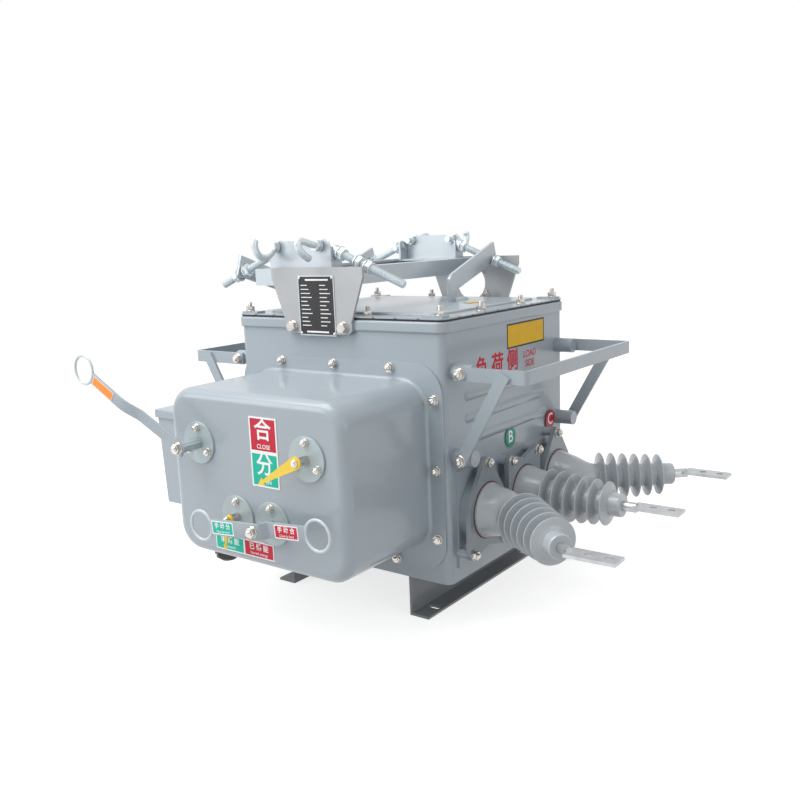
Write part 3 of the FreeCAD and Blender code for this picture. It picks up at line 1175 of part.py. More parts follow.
# Hooks: bent round bar through the uprights, open upward on the left and downward on the right.
HOOK_UP = [("0", "0"), ("24", "0"), ("36", "-9"), ("46", "-22"), ("57", "-20"), ("60", "-6"),
           ("60", "28")]
HOOK_DOWN = [("0", "0"), ("34", "0"), ("54", "7"), ("66", "11"), ("70", "-3"), ("56", "-16"),
             ("36", "-30")]
hooks = []
nuts = []
for q in SIDES:
    for way, path in (("-1", HOOK_UP), ("1", HOOK_DOWN)):
        px = "hang_x - 4 + %s * hook_gap" % way
        points = [(px, q + " * (half_d - hang_t - 24)", "hook_z")]
        points += [(px, q + " * (half_d - hang_t + %s)" % out, "hook_z + (%s)" % up)
                   for out, up in path[1:]]
        hooks.append(rod(points, "hook_r"))
        for seat, turn in ((q + " * (half_d - hang_t)", TO_NY if q == "1" else TO_Y),
                           (q + " * half_d", TO_Y if q == "1" else TO_NY)):
            washer = cyl("hook_nut / 2 + 2", "2", px, seat, "hook_z", turn)
            nut = hexagon("hook_nut", "12", px, seat, "hook_z", turn)
            hole = cyl("hook_r + fit", "40", px, q + " * half_d - 20", "hook_z", TO_Y)
            nuts.append(cut(fuse(washer, nut), hole))
node("hooks", *hooks)
node("hook_nuts", *nuts)

# Threaded ties that slope down to both sides, their nuts and three hanging clamp arms.
ties = []
tie_nuts = []
arms = []
for q in SIDES:
    for way in SIDES:
        inward = "180; 90 - tie_turn; 0" if way == "1" else "0; 90 - tie_turn; 0"
        outward = "0; 90 + tie_turn; 0" if way == "1" else "180; 90 + tie_turn; 0"
        start = tie_point(way, q, "0")
        ties.append(cyl("tie_r", "tie_len", start[0], start[1], start[2], inward))
        wall_spot = "(tie_tip - up_w / 2) / cos(tie_turn)"
        spots = [(wall_spot + " - 8", outward)]
        hangs = not (way == "1" and q == "-1")
        if hangs:
            hang_spot = "clip_x" if way == "1" else "clip_far"
            middle = "(tie_tip - %s) / cos(tie_turn)" % hang_spot
            spots += [(middle + " - clip_t / 2 - 6", outward), (middle + " + clip_t / 2 + 6", inward)]
        else:
            spots += [("(tie_tip - 150) / cos(tie_turn)", outward),
                      ("(tie_tip - 178) / cos(tie_turn)", outward)]
        for along, turn in spots:
            place = tie_point(way, q, along)
            nut = fuse(hexagon("tie_nut", "12", *place, turn),
                       cyl("tie_nut / 2 + 2", "2.4", *place, turn))
            tie_nuts.append(cut(nut,
                                cyl("tie_r + fit", "60", *tie_point(way, q, "(%s) - 30" % along),
                                    inward)))
        if hangs:
            place = tie_point(way, q, middle)
            lean = "clip_turn" if q == "1" else "0 - clip_turn"
            frame = "placement(vector(%s; %s; %s); rotation(0; 0; %s))" % (rule(place[0]),
                rule(place[1]), rule(place[2]), rule(lean))
            flat = doc.addObject("Part::Box", label("Block"))
            flat.setExpression("Length", rule("clip_t"))
            flat.setExpression("Width", rule("clip_len + clip_back"))
            flat.setExpression("Height", rule("clip_w"))
            back = "0 - clip_len" if q == "1" else "0 - clip_back"
            flat.setExpression("Placement",
                               frame + " * placement(vector(%s; %s; %s); rotation(0; 0; 0))" % (
                rule("-clip_t / 2"), rule(back), rule("-clip_w / 2")))
            arms.append(cut(soften(flat, 9, lambda edge: runs(edge, (1, 0, 0))),
                            cyl("tie_r + 2.4", "40", place[0] + " - 20", place[1], place[2], TO_X)))
node("tie_rods", *ties)
node("tie_nuts", *tie_nuts)
node("clamp_arms", *arms)

# Inside the tank: three vacuum interrupters lying along X on two insulating boards.
tubes = []
loads = []
lines = []
open_face = "face_x - stroke_gap"
for k, py in enumerate(PHASES):
    hollow_r = "vi_r - vi_wall"
    profile = [("12 + fit", "0"), ("vi_cap", "0"), ("vi_cap", "6"), ("vi_r", "6"),
               ("vi_r", "vi_len - 6"), ("vi_cap", "vi_len - 6"),
               ("vi_cap", "vi_len"), ("stem_r + fit", "vi_len"), ("stem_r + fit", "vi_len - 10"),
               (hollow_r, "vi_len - 14"),
               (hollow_r, "14"), ("12 + fit", "10")]
    tubes.append(turned(profile, "-vi_start", py, "vi_z", TO_X))
    fixed = fuse(cyl("12", "line_x - bus_t / 2 - face_x - 1", "-(line_x - bus_t / 2)", py, "vi_z", TO_X),
                      cyl("contact_r", "contact_t", "-(face_x + contact_t)", py, "vi_z", TO_X))
    stem = cyl("stem_r", "(%s) - contact_t + pull_in" % open_face, "-(%s) + contact_t" % open_face, py,
               "vi_z", TO_X)
    tip = cyl("contact_r", "contact_t", "-(%s)" % open_face, py, "vi_z", TO_X)
    node("moving_contact_" + "abc"[k], fuse(stem, tip))
    ribs = [cyl("pull_r + 3", "4", "pull_in + %s" % d, py, "vi_z", TO_X) for d in ("10", "20", "30")]
    neck = box("pin_x + 14 - pull_out + 4", "eye_t", "28", "(pin_x + 14 + pull_out - 4) / 2", py, "vi_z")
    window = box("2 * pin_r + 0.4", "3 * eye_t", "15", "pin_x", py, "vi_z")
    node("pull_rod_" + "abc"[k],
         cut(fuse(cyl("pull_r", "pull_out - pull_in", "pull_in", py, "vi_z", TO_X), neck, *ribs),
             window))
    high = "vi_z - 24"
    low = "bush_z - 14"
    riser = box("bus_t", "bus_w", "(%s) - (%s)" % (high, low), "bar_x", py,
                "((%s) + (%s)) / 2" % (high, low))
    block = soften(box("34", "48", "48", "bar_x", py, "vi_z"), 5, lambda edge: runs(edge, (1, 0, 0)))
    loads.append(cut(fuse(block, riser), cyl("stem_r + fit", "60", "bar_x - 30", py, "vi_z", TO_X)))
    top = "vi_z + 18"
    bar = box("bus_t", "bus_w", "(%s) - (%s)" % (top, low), "-line_x", py,
              "((%s) + (%s)) / 2" % (top, low))
    lines.append(fuse(bar, fixed))
node("interrupters", *tubes)
node("load_bars", *loads)
node("line_bars", *lines)
boards = []
for px in ("-(vi_start - 26)", "-(vi_start - 102)"):
    board = box("12", "436", "vi_z - floor_z - wall", px, "0", "(vi_z + floor_z + wall) / 2")
    tools = [cyl("vi_r + fit", "40", "(%s) - 20" % px, py, "vi_z", TO_X) for py in PHASES]
    tools += [cyl("38", "40", "(%s) - 20" % px, py, "bush_z - 30", TO_X) for py in PHASES]
    boards.append(cut(board, *tools))
node("interrupter_boards", *boards)

# Current transformers on a shelf round the load conductors.
rings = []
for py in PHASES:
    ring = soften(cyl("ct_r", "ct_len", "ct_x - ct_len / 2", py, "bush_z", TO_X), 5,
                  lambda edge: edge.Length > 250)
    rings.append(cut(ring, cyl("ct_hole", "3 * ct_len", "ct_x - 1.5 * ct_len", py, "bush_z", TO_X)))
node("current_transformers", *rings)
shelf = box("56", "430", "5", "ct_x", "0", "bush_z - ct_r - 2.5")
legs = [box("40", "5", "bush_z - ct_r - 4 - floor_z - wall", "ct_x", py,
            "(bush_z - ct_r - 4 + floor_z + wall) / 2")
        for py in ("-205", "-75", "75", "205")]
node("transformer_shelf", fuse(shelf, *legs))
coils = [spring("main_r + wire_r + 0.4", "wire_r", "50", "8", "disc_x", py, "disc_z", TO_Y)
         for py in ("-100", "50")]
node("opening_springs", *coils)

# Mechanism: two plates on pillars, the closing spring and its seats, and the charging motor.
plates = []
for face in ("plate_front", "plate_rear"):
    plate = box("plate_w", "plate_t", "plate_high - plate_low", "0", "-(%s - plate_t / 2)" % face,
                "(plate_high + plate_low) / 2")
    plates.append(plate)
pillars = []
for px in ("-(plate_w / 2 - 16)", "plate_w / 2 - 16"):
    for pz in ("plate_low + 16", "plate_high - 16"):
        pillars.append(cyl("9", "plate_front - half_d - 2", px, "-(plate_front - 2)", pz, TO_Y))
seats = [box("50", "40", "6", "-60", "-(plate_rear + 18)", pz)
         for pz in ("plate_low + 24", "plate_high - 40")]
tools = [cyl("main_r + run", "400", "disc_x", "-600", "disc_z", TO_Y),
         cyl("shaft_r + run", "400", "-disc_x", "-600", "disc_z", TO_Y)]
tools += [cyl("shaft_r + run", "160", px, "-600", "low_z", TO_Y) for px in ("-low_x", "low_x")]
node("mech_frame", cut(fuse(*(plates + pillars + seats)), *tools))
node("closing_spring", spring("spring_r", "3", "plate_high - plate_low - 80", "11", "-60",
                              "-(plate_rear + 18)", "plate_low + 31"))
can = cyl("30", "90", "60", "-plate_rear", "low_z + 8", TO_NY)
gearbox = box("70", "24", "80", "60", "-(plate_rear + 102)", "low_z + 20")
pinion = cyl("12", "14", "60", "-(plate_rear + 114)", "low_z + 44", TO_NY)
node("charging_motor", fuse(can, gearbox, pinion))

doc.recompute()
os.makedirs("parts", exist_ok=True)
for obj in doc.Objects:
    if "Invalid" in obj.State or "Error" in obj.State:
        raise RuntimeError("not sound: %s %s" % (obj.Name, obj.State))
for name, obj in nodes.items():
    obj.Label = name
    if obj.Shape.isNull() or not obj.Shape.isValid():
        raise RuntimeError("bad shape: %s" % name)
    obj.Shape.exportStep("parts/%s.step" % name)
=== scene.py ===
# %% [markdown]
# Outdoor vacuum circuit breaker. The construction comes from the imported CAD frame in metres,
# with X to the load side, Y to the back and Z up. This lesson dresses it: first the camera and
# the light, then the finishes, then the pieces that are worth modelling again by hand.

# %% Load the frame
import math

import bmesh
import bpy
from mathutils import Matrix, Vector


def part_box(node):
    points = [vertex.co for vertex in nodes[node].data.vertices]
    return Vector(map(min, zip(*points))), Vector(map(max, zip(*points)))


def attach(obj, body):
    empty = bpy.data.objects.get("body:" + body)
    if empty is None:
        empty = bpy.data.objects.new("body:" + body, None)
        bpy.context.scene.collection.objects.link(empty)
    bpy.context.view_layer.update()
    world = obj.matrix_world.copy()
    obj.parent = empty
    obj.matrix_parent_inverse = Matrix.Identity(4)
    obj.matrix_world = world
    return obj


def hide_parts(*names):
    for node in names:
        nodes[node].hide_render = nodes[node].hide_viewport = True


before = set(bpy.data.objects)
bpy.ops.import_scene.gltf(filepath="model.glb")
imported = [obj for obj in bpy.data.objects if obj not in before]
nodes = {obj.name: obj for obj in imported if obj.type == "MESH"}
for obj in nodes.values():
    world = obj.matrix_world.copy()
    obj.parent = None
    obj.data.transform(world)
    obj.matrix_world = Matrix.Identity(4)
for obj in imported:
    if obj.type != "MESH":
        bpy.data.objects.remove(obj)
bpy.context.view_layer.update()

# %% [markdown]
# The camera stands in front of the right corner, a little above the lid, and leans by two
# degrees, as the photographer held it. Its place was found from the straight edges of the tank.

# %% Camera
CAMERA_PLACE = (1.187, -1.6118, 0.7687)
CAMERA_YAW = 36.85
CAMERA_DOWN = 10.515
CAMERA_ROLL = -2.30
CAMERA_LENS = 39.85

camera_data = bpy.data.cameras.new("view_camera")
camera_data.lens = CAMERA_LENS
camera_data.sensor_width = 36.0
camera = bpy.data.objects.new("view_camera", camera_data)
bpy.context.scene.collection.objects.link(camera)
turn = Matrix.Rotation(math.radians(CAMERA_YAW), 4, "Z")
turn = turn @ Matrix.Rotation(math.radians(90 - CAMERA_DOWN), 4, "X")
turn = turn @ Matrix.Rotation(math.radians(CAMERA_ROLL), 4, "Z")
camera.matrix_world = Matrix.Translation(CAMERA_PLACE) @ turn
bpy.context.scene.camera = camera
print("camera at", CAMERA_PLACE)

# %% [markdown]
# A product on white needs a wide soft lamp over it, a weaker one from the side to shape the
# corners, and a floor that stays white. More light on the object would bleach it, so the world
# shows white only to camera, glossy and transmission rays, and lights the object at a lower
# strength.

# %% Light
scene = bpy.context.scene
scene.view_settings.view_transform = "Standard"
WORLD_LIGHT = 0.62


def area_lamp(name, place, aim, size, power):
    data = bpy.data.lights.new(name, "AREA")
    data.shape = "RECTANGLE"
    data.size = size[0]
    data.size_y = size[1]
    data.energy = power
    lamp = bpy.data.objects.new(name, data)
    scene.collection.objects.link(lamp)
    lamp.location = place
    lamp.rotation_euler = (Vector(aim) - Vector(place)).to_track_quat("-Z", "Y").to_euler()
    return lamp


TOP_POWER, LEFT_POWER, RIGHT_POWER = 74, 34, 10

area_lamp("top_lamp", (-0.9, -1.3, 3.0), (0.0, 0.0, 0.35), (2.2, 2.2), TOP_POWER)
area_lamp("left_lamp", (-2.2, -3.0, 1.6), (0.0, -0.2, 0.35), (1.8, 1.8), LEFT_POWER)
area_lamp("right_lamp", (3.2, -0.6, 1.3), (0.1, 0.0, 0.3), (1.5, 1.5), RIGHT_POWER)


def seen_directly(tree):
    # one for camera, glossy and transmission rays, and zero for the rays that light the object
    path = tree.nodes.new("ShaderNodeLightPath")
    shown = path.outputs["Is Camera Ray"]
    for ray in ("Is Glossy Ray", "Is Transmission Ray"):
        most = tree.nodes.new("ShaderNodeMath")
        most.operation = "MAXIMUM"
        tree.links.new(shown, most.inputs[0])
        tree.links.new(path.outputs[ray], most.inputs[1])
        shown = most.outputs[0]
    return shown


world = bpy.data.worlds.new("studio")
scene.world = world
world.use_nodes = True
tree = world.node_tree
glow = tree.nodes["Background"]
glow.inputs["Color"].default_value = (1.0, 1.0, 1.0, 1.0)
glow.inputs["Strength"].default_value = WORLD_LIGHT
seen = tree.nodes.new("ShaderNodeBackground")
seen.inputs["Color"].default_value = (1.0, 1.0, 1.0, 1.0)
seen.inputs["Strength"].default_value = 1.0
mix = tree.nodes.new("ShaderNodeMixShader")
tree.links.new(seen_directly(tree), mix.inputs[0])
tree.links.new(glow.outputs[0], mix.inputs[1])
tree.links.new(seen.outputs[0], mix.inputs[2])
tree.links.new(mix.outputs[0], tree.nodes["World Output"].inputs[0])
print("three lamps and the world")

# %% [markdown]
# The floor is a wide plane. To the camera it glows almost white by itself and adds a little
# plain paint, so the soft shadow under the object still shows. To the other rays it is a pale
# painted floor that throws light back up.

# %% Floor
FLOOR_GLOW = 0.74
FLOOR_PAINT = 0.52
FLOOR_WIDE = 14.0
FLOOR_LEVEL = -0.0005

bpy.ops.mesh.primitive_plane_add(size=FLOOR_WIDE, location=(0, 0, FLOOR_LEVEL))
floor = bpy.context.object
floor.name = "studio_floor"
floor_paint = bpy.data.materials.new("floor_paint")
floor_paint.use_nodes = True
tree = floor_paint.node_tree
tree.nodes.remove(tree.nodes["Principled BSDF"])
paint = tree.nodes.new("ShaderNodeBsdfDiffuse")
paint.inputs["Color"].default_value = (FLOOR_PAINT, FLOOR_PAINT, FLOOR_PAINT, 1.0)
glow = tree.nodes.new("ShaderNodeEmission")
glow.inputs["Strength"].default_value = FLOOR_GLOW
both = tree.nodes.new("ShaderNodeAddShader")
tree.links.new(paint.outputs[0], both.inputs[0])
tree.links.new(glow.outputs[0], both.inputs[1])
mix = tree.nodes.new("ShaderNodeMixShader")
tree.links.new(seen_directly(tree), mix.inputs[0])
tree.links.new(paint.outputs[0], mix.inputs[1])
tree.links.new(both.outputs[0], mix.inputs[2])
tree.links.new(mix.outputs[0], tree.nodes["Material Output"].inputs[0])
floor.data.materials.append(floor_paint)
print("floor placed")

# %% [markdown]
# Every finish here is built the same way: a cloud texture in object space makes the colour
# wander a little, a second one does the same for the roughness, and a fine one gives the
# surface its grain through a bump node. Only the numbers differ from paint to zinc.

# %% How a finish is made
COAT_ROUGH = 0.12
RELIEF = 0.0004
CLOUD_LOW, CLOUD_HIGH = 0.3, 0.7


def finish(name, colour, rough, metal=0.0, coat=0.0, wander=0.05, cloud=9.0, grain=700.0, bump=0.03,
           spread=0.06):
    # colour and rough wander a little, in clouds of scale cloud; bump is the strength of the grain
    made = bpy.data.materials.new(name)
    made.use_nodes = True
    tree = made.node_tree
    shader = tree.nodes["Principled BSDF"]
    shader.inputs["Metallic"].default_value = metal
    shader.inputs["Coat Weight"].default_value = coat
    shader.inputs["Coat Roughness"].default_value = COAT_ROUGH
    place = tree.nodes.new("ShaderNodeTexCoord")
    clouds = tree.nodes.new("ShaderNodeTexNoise")
    clouds.inputs["Scale"].default_value = cloud
    clouds.inputs["Detail"].default_value = 8.0
    tree.links.new(place.outputs["Object"], clouds.inputs["Vector"])
    ramp = tree.nodes.new("ShaderNodeValToRGB")
    ramp.color_ramp.elements[0].position = CLOUD_LOW
    ramp.color_ramp.elements[1].position = CLOUD_HIGH
    ramp.color_ramp.elements[0].color = tuple(c * (1 - wander) for c in colour) + (1.0,)
    ramp.color_ramp.elements[1].color = tuple(min(1.0, c * (1 + wander)) for c in colour) + (1.0,)
    tree.links.new(clouds.outputs["Fac"], ramp.inputs["Fac"])
    tree.links.new(ramp.outputs["Color"], shader.inputs["Base Color"])
    patches = tree.nodes.new("ShaderNodeTexNoise")
    patches.inputs["Scale"].default_value = cloud * 5
    patches.inputs["Detail"].default_value = 5.0
    tree.links.new(place.outputs["Object"], patches.inputs["Vector"])
    span = tree.nodes.new("ShaderNodeMapRange")
    span.inputs["From Min"].default_value = CLOUD_LOW
    span.inputs["From Max"].default_value = CLOUD_HIGH
    span.inputs["To Min"].default_value = max(0.02, rough - spread)
    span.inputs["To Max"].default_value = min(1.0, rough + spread)
    tree.links.new(patches.outputs["Fac"], span.inputs["Value"])
    tree.links.new(span.outputs["Result"], shader.inputs["Roughness"])
    fine = tree.nodes.new("ShaderNodeTexNoise")
    fine.inputs["Scale"].default_value = grain
    fine.inputs["Detail"].default_value = 3.0
    tree.links.new(place.outputs["Object"], fine.inputs["Vector"])
    relief = tree.nodes.new("ShaderNodeBump")
    relief.inputs["Strength"].default_value = bump
    relief.inputs["Distance"].default_value = RELIEF
    tree.links.new(fine.outputs["Fac"], relief.inputs["Height"])
    tree.links.new(relief.outputs["Normal"], shader.inputs["Normal"])
    return made


print("finish helper ready, relief", RELIEF)

# %% [markdown]
# The enamel is a cool grey with a soft shine. The hardware shows four kinds of zinc: dull on the
# gussets, greener on the discs, pale on the hanging frame and brightest on hooks and ties.

# %% Paints and metals
grey_enamel = finish("grey_enamel", (0.338, 0.388, 0.428), 0.32, coat=0.35, wander=0.022, cloud=5.0,
                     grain=60.0, bump=0.012, spread=0.02)
# The rails are the grey enamel made darker: painted shade for the shadow that lies on them under the tank.
rail_grey_painted_shade = finish("rail_grey_painted_shade", (0.225, 0.240, 0.255), 0.40, coat=0.2, wander=0.06, grain=200.0, bump=0.06)
casting_enamel = finish("casting_enamel", (0.235, 0.270, 0.298), 0.38, coat=0.25, cloud=18.0, grain=380.0,
                        bump=0.22)
ring_paint = finish("ring_paint", (0.56, 0.61, 0.64), 0.30, coat=0.4, wander=0.04, grain=200.0, bump=0.02)
white_zinc = finish("white_zinc", (0.470, 0.520, 0.555), 0.36, metal=0.35, wander=0.035, cloud=12.0,
                    grain=300.0)
bright_zinc = finish("bright_zinc", (0.66, 0.72, 0.745), 0.30, metal=0.45, cloud=25.0, grain=600.0, bump=0.04)
gusset_zinc = finish("gusset_zinc", (0.400, 0.412, 0.425), 0.45, metal=0.2, wander=0.04, cloud=10.0,
                     grain=300.0)
disc_zinc = finish("disc_zinc", (0.400, 0.470, 0.490), 0.36, metal=0.25, cloud=20.0, grain=800.0, bump=0.05)
bolt_nickel = finish("bolt_nickel", (0.60, 0.575, 0.54), 0.24, metal=1.0, wander=0.12, cloud=70.0,
                     grain=1300.0, bump=0.06)
dark_steel = finish("dark_steel", (0.16, 0.16, 0.165), 0.36, metal=0.9, wander=0.15, cloud=60.0, grain=900.0,
                    bump=0.1)
tinned_copper = finish("tinned_copper", (0.50, 0.52, 0.53), 0.34, metal=0.8, wander=0.12, cloud=45.0,
                       grain=120.0, bump=0.12)
bare_copper = finish("bare_copper", (0.72, 0.36, 0.20), 0.32, metal=1.0, wander=0.12, cloud=30.0, grain=900.0,
                     bump=0.1)

# %% Rubber, plastic and ceramic
grey_silicone = finish("grey_silicone", (0.415, 0.452, 0.480), 0.32, coat=0.4, wander=0.03, cloud=22.0,
                       grain=500.0)
black_rubber = finish("black_rubber", (0.018, 0.018, 0.020), 0.62, wander=0.25, cloud=30.0, grain=800.0,
                      bump=0.25)
red_rubber = finish("red_rubber", (0.115, 0.030, 0.028), 0.55, wander=0.15, cloud=30.0, grain=800.0, bump=0.2)
black_plastic = finish("black_plastic", (0.016, 0.016, 0.018), 0.42, wander=0.2, cloud=25.0, grain=900.0,
                       bump=0.15)
glazed_ceramic = finish("glazed_ceramic", (0.78, 0.77, 0.72), 0.15, coat=0.5, wander=0.03, cloud=20.0,
                        grain=500.0)
brown_epoxy = finish("brown_epoxy", (0.20, 0.075, 0.045), 0.40, wander=0.1, cloud=20.0, grain=500.0,
                     bump=0.15)

# %% Prints and films
PRINT = {"cloud": 40.0, "grain": 900.0, "bump": 0.02}
pointer_yellow = finish("pointer_yellow", (0.86, 0.60, 0.035), 0.35, coat=0.3, cloud=40.0, grain=800.0,
                        bump=0.08)
print_red = finish("print_red", (0.52, 0.006, 0.032), 0.60, wander=0.03, **PRINT)
print_teal = finish("print_teal", (0.002, 0.450, 0.330), 0.60, wander=0.03, **PRINT)
print_green = finish("print_green", (0.010, 0.270, 0.170), 0.45, wander=0.04, **PRINT)
print_crimson = finish("print_crimson", (0.440, 0.018, 0.045), 0.45, wander=0.04, **PRINT)
print_orange = finish("print_orange", (0.90, 0.285, 0.035), 0.45, wander=0.06, cloud=60.0, grain=900.0)
print_yellow = finish("print_yellow", (0.74, 0.44, 0.008), 0.60, cloud=40.0, grain=900.0)
print_white = finish("print_white", (0.86, 0.87, 0.87), 0.42, wander=0.02, cloud=30.0, grain=900.0, bump=0.02)
print_black = finish("print_black", (0.010, 0.010, 0.012), 0.55, wander=0.15, cloud=30.0, grain=900.0,
                     bump=0.04)
print("finishes:", len(bpy.data.materials))

# %% Finishes on the CAD nodes
NODE_FINISH = {
    grey_enamel: ("tank", "lid", "mech_cover", "side_frames", "terminal_box", "terminal_lid", "trip_lever",
                  "transformer_shelf", "charge_handle", "lid_clamps"),
    # the rails get the darker grey, which is painted shade
    rail_grey_painted_shade: ("base_rails",),
    white_zinc: ("hanger_frame", "hanger_uprights", "clamp_arms", "hooks", "hook_nuts", "tie_rods",
                 "tie_nuts"),
    gusset_zinc: ("hanger_gussets",),
    disc_zinc: ("bearing_discs", "mech_frame", "charge_shaft", "shaft_bearings"),
    bolt_nickel: ("lid_studs", "cover_bolts", "disc_bolts", "trip_shaft", "main_shaft", "frame_bolts",
                  "clamp_studs", "gusset_bolts"),
    casting_enamel: ("bushing_clamps",),
    grey_silicone: ("straight_bushings", "bent_bushings"),
    tinned_copper: ("terminals",),
    black_rubber: ("lid_gasket",),
    red_rubber: ("bushing_gaskets",),
    black_plastic: ("control_socket", "terminal_strip", "charging_motor"),
    pointer_yellow: ("position_pointer", "energy_pointer"),
    print_black: ("rating_plate",),
    print_white: ("state_plates",),
    bare_copper: ("load_bars", "line_bars", "moving_contact_a", "moving_contact_b", "moving_contact_c"),
    glazed_ceramic: ("interrupters",),
    brown_epoxy: ("interrupter_boards", "current_transformers", "pull_rod_a", "pull_rod_b", "pull_rod_c"),
    dark_steel: ("opening_springs", "closing_spring"),
}
dressed = set()
for made, names in NODE_FINISH.items():
    for name in names:
        mesh = nodes[name].data
        mesh.materials.clear()
        mesh.materials.append(made)
        dressed.add(name)
print("nodes without a finish:", sorted(set(nodes) - dressed))

# %% [markdown]
# Most small parts here are turned on a lathe: washers, threads, studs and plugs. Spin would do
# it, but a filled circle that is extruded and resized ring by ring follows the lathe's own way,
# keeps both ends closed, and makes a hexagon nut when the circle has only six corners.

# %% Turned parts
SMOOTH = math.radians(35)


def clear_selection():
    for obj in bpy.context.selected_objects:
        obj.select_set(False)


def take(*objects):
    clear_selection()
    for obj in objects:
        obj.select_set(True)
    bpy.context.view_layer.objects.active = objects[0]


def turned(name, profile, sides=32):
    clear_selection()
    radius, height = profile[0]
    bpy.ops.mesh.primitive_circle_add(vertices=sides, radius=radius, fill_type="NGON",
                                      location=(0, 0, height))
    piece = bpy.context.object
    piece.name = name
    bpy.ops.object.transform_apply(location=True)
    bpy.ops.object.mode_set(mode="EDIT")
    bpy.ops.mesh.select_all(action="SELECT")
    for wider, higher in profile[1:]:
        bpy.ops.mesh.extrude_region_move(TRANSFORM_OT_translate={"value": (0, 0, higher - height)})
        bpy.ops.transform.resize(value=(wider / radius, wider / radius, 1), center_override=(0, 0, higher))
        radius, height = wider, higher
    bpy.ops.mesh.select_all(action="SELECT")
    bpy.ops.mesh.normals_make_consistent(inside=False)
    bpy.ops.object.mode_set(mode="OBJECT")
    bpy.ops.object.shade_smooth_by_angle(angle=SMOOTH)
    return piece


def joined(name, pieces):
    take(*pieces)
    bpy.ops.object.join()
    whole = bpy.context.object
    whole.name = name
    whole.data.name = name
    return whole


def set_at(piece, spot, way, spin=0.0):
    aim = Vector(way).to_track_quat("Z", "Y").to_matrix().to_4x4()
    piece.matrix_world = Matrix.Translation(spot) @ aim @ Matrix.Rotation(spin, 4, "Z")
    take(piece)
    bpy.ops.object.transform_apply(location=True, rotation=True, scale=True)
    return piece


def placed(piece, place):
    # stands a piece at a place given as a matrix
    piece.matrix_world = place
    take(piece)
    bpy.ops.object.transform_apply(location=True, rotation=True)
    return piece


def copy_of(piece):
    other = piece.copy()
    other.data = piece.data.copy()
    scene.collection.objects.link(other)
    return other


def belong(piece, made, body, slot, *nodes_replaced):
    piece.data.materials.clear()
    piece.data.materials.append(made)
    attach(piece, body)
    if nodes_replaced:
        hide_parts(*nodes_replaced)


print("lathe ready")

# %% [markdown]
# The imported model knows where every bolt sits. A merged copy of a node's mesh falls into its
# separate solids, and each solid gives its axis, the face its washer lies on and its outer end.

# %% Where the fasteners sit
MERGE = 1e-6
WASHER_EDGE = 0.97


def solids_of(name):
    # the points of each separate solid of a node
    copy = bmesh.new()
    copy.from_mesh(nodes[name].data)
    bmesh.ops.remove_doubles(copy, verts=copy.verts, dist=MERGE)
    found = []
    met = set()
    for start in copy.verts:
        if start in met:
            continue
        met.add(start)
        line = [start]
        points = []
        while line:
            vert = line.pop()
            points.append(vert.co.copy())
            for edge in vert.link_edges:
                other = edge.other_vert(vert)
                if other not in met:
                    met.add(other)
                    line.append(other)
        found.append(points)
    copy.free()
    return found


def seats_of(name, way, both_sides=False):
    # for each solid: where its axis meets the face it is seated on, its outward way, its height
    # above that face, its depth below it and the radius of its washer
    found = []
    for points in solids_of(name):
        out = Vector(way)
        middle = sum(points, Vector()) / len(points)
        if both_sides and middle.dot(out) < 0:
            out = -out
        along = [p.dot(out) for p in points]
        flat = [p - out * p.dot(out) for p in points]
        low = Vector([min(p[i] for p in flat) for i in range(3)])
        high = Vector([max(p[i] for p in flat) for i in range(3)])
        axis = (low + high) / 2
        reach = max((p - axis).length for p in flat)
        seat = min(a for a, p in zip(along, flat) if (p - axis).length > WASHER_EDGE * reach)
        found.append({"seat": axis + out * seat, "out": out, "height": max(along) - seat,
                      "depth": seat - min(along), "washer": reach})
    return found


for name in ("cover_bolts", "lid_studs", "frame_bolts", "clamp_studs"):
    print(name, len(solids_of(name)), "solids")

# %% [markdown]
# The bolts are bright nickel: a washer, a hexagon nut with its corners taken off, and the end of
# the stud with its thread. They could be left as plain CAD hexagons, but the many small glints
# on the flange and the lid are a large part of how the real breaker looks.

# %% One fastener
EDGE = 0.0004
PITCH = 0.0015
THREAD_ROOT = 0.86
THREAD_SIDES = 20
SHANK_SIDES = 16
WASHER_THICK = 0.0018
TIP_SHARE, TIP_HIGH = 0.60, 0.0008
FIRST_TURN, NEXT_TURN = 0.2, 0.7


def washer(outer, thick, drop=EDGE):
    # a ring's outline with both rims taken off by drop
    return turned("washer", [(outer - drop, 0.0), (outer, EDGE), (outer, thick - EDGE),
                             (outer - drop, thick)])


def thread(name, radius, low, high):
    turns = max(2, int((high - low) / PITCH))
    step = (high - low) / turns
    profile = [(radius * THREAD_ROOT, low)]
    for k in range(turns):
        profile.append((radius, low + (k + 0.5) * step))
        profile.append((radius * THREAD_ROOT, low + (k + 1) * step))
    return turned(name, profile, THREAD_SIDES)


def nut(name, across, low, high):
    # six corners, with a light chamfer below and a wider one on top
    corner = across / math.sqrt(3)
    chamfer = 0.05 * across
    profile = [(corner * 0.93, low), (corner, low + chamfer), (corner, high - chamfer), (corner * 0.86, high)]
    return turned(name, profile, 6)


def fastener(name, across, washer_out, nut_high, stud, stud_end, depth):
    # washer, nut, threaded end and the stud that runs into the work; the seat is at zero
    tip = WASHER_THICK + nut_high + stud_end
    pieces = [washer(washer_out, WASHER_THICK), nut("nut", across, WASHER_THICK, WASHER_THICK + nut_high)]
    if stud_end:
        pieces.append(thread("stud_end", stud, WASHER_THICK + nut_high - 0.001, tip))
        pieces.append(turned("tip", [(stud * THREAD_ROOT, tip), (stud * TIP_SHARE, tip + TIP_HIGH)],
                             THREAD_SIDES))
    pieces.append(turned("shank", [(stud, -depth), (stud, 0.0)], SHANK_SIDES))
    return joined(name, pieces)


def spread(name, master, seats):
    # one own copy of the fastener on every seat, each with its corners turned a little further
    pieces = []
    for k, seat in enumerate(seats):
        pieces.append(set_at(copy_of(master), seat["seat"], seat["out"], FIRST_TURN + NEXT_TURN * k))
    bpy.data.objects.remove(master)
    return joined(name, pieces)


print("fastener ready")

# %% Flange, disc, frame, gusset and lid fasteners
WASHER_SHARE = 0.62
DEEPEST = 0.02
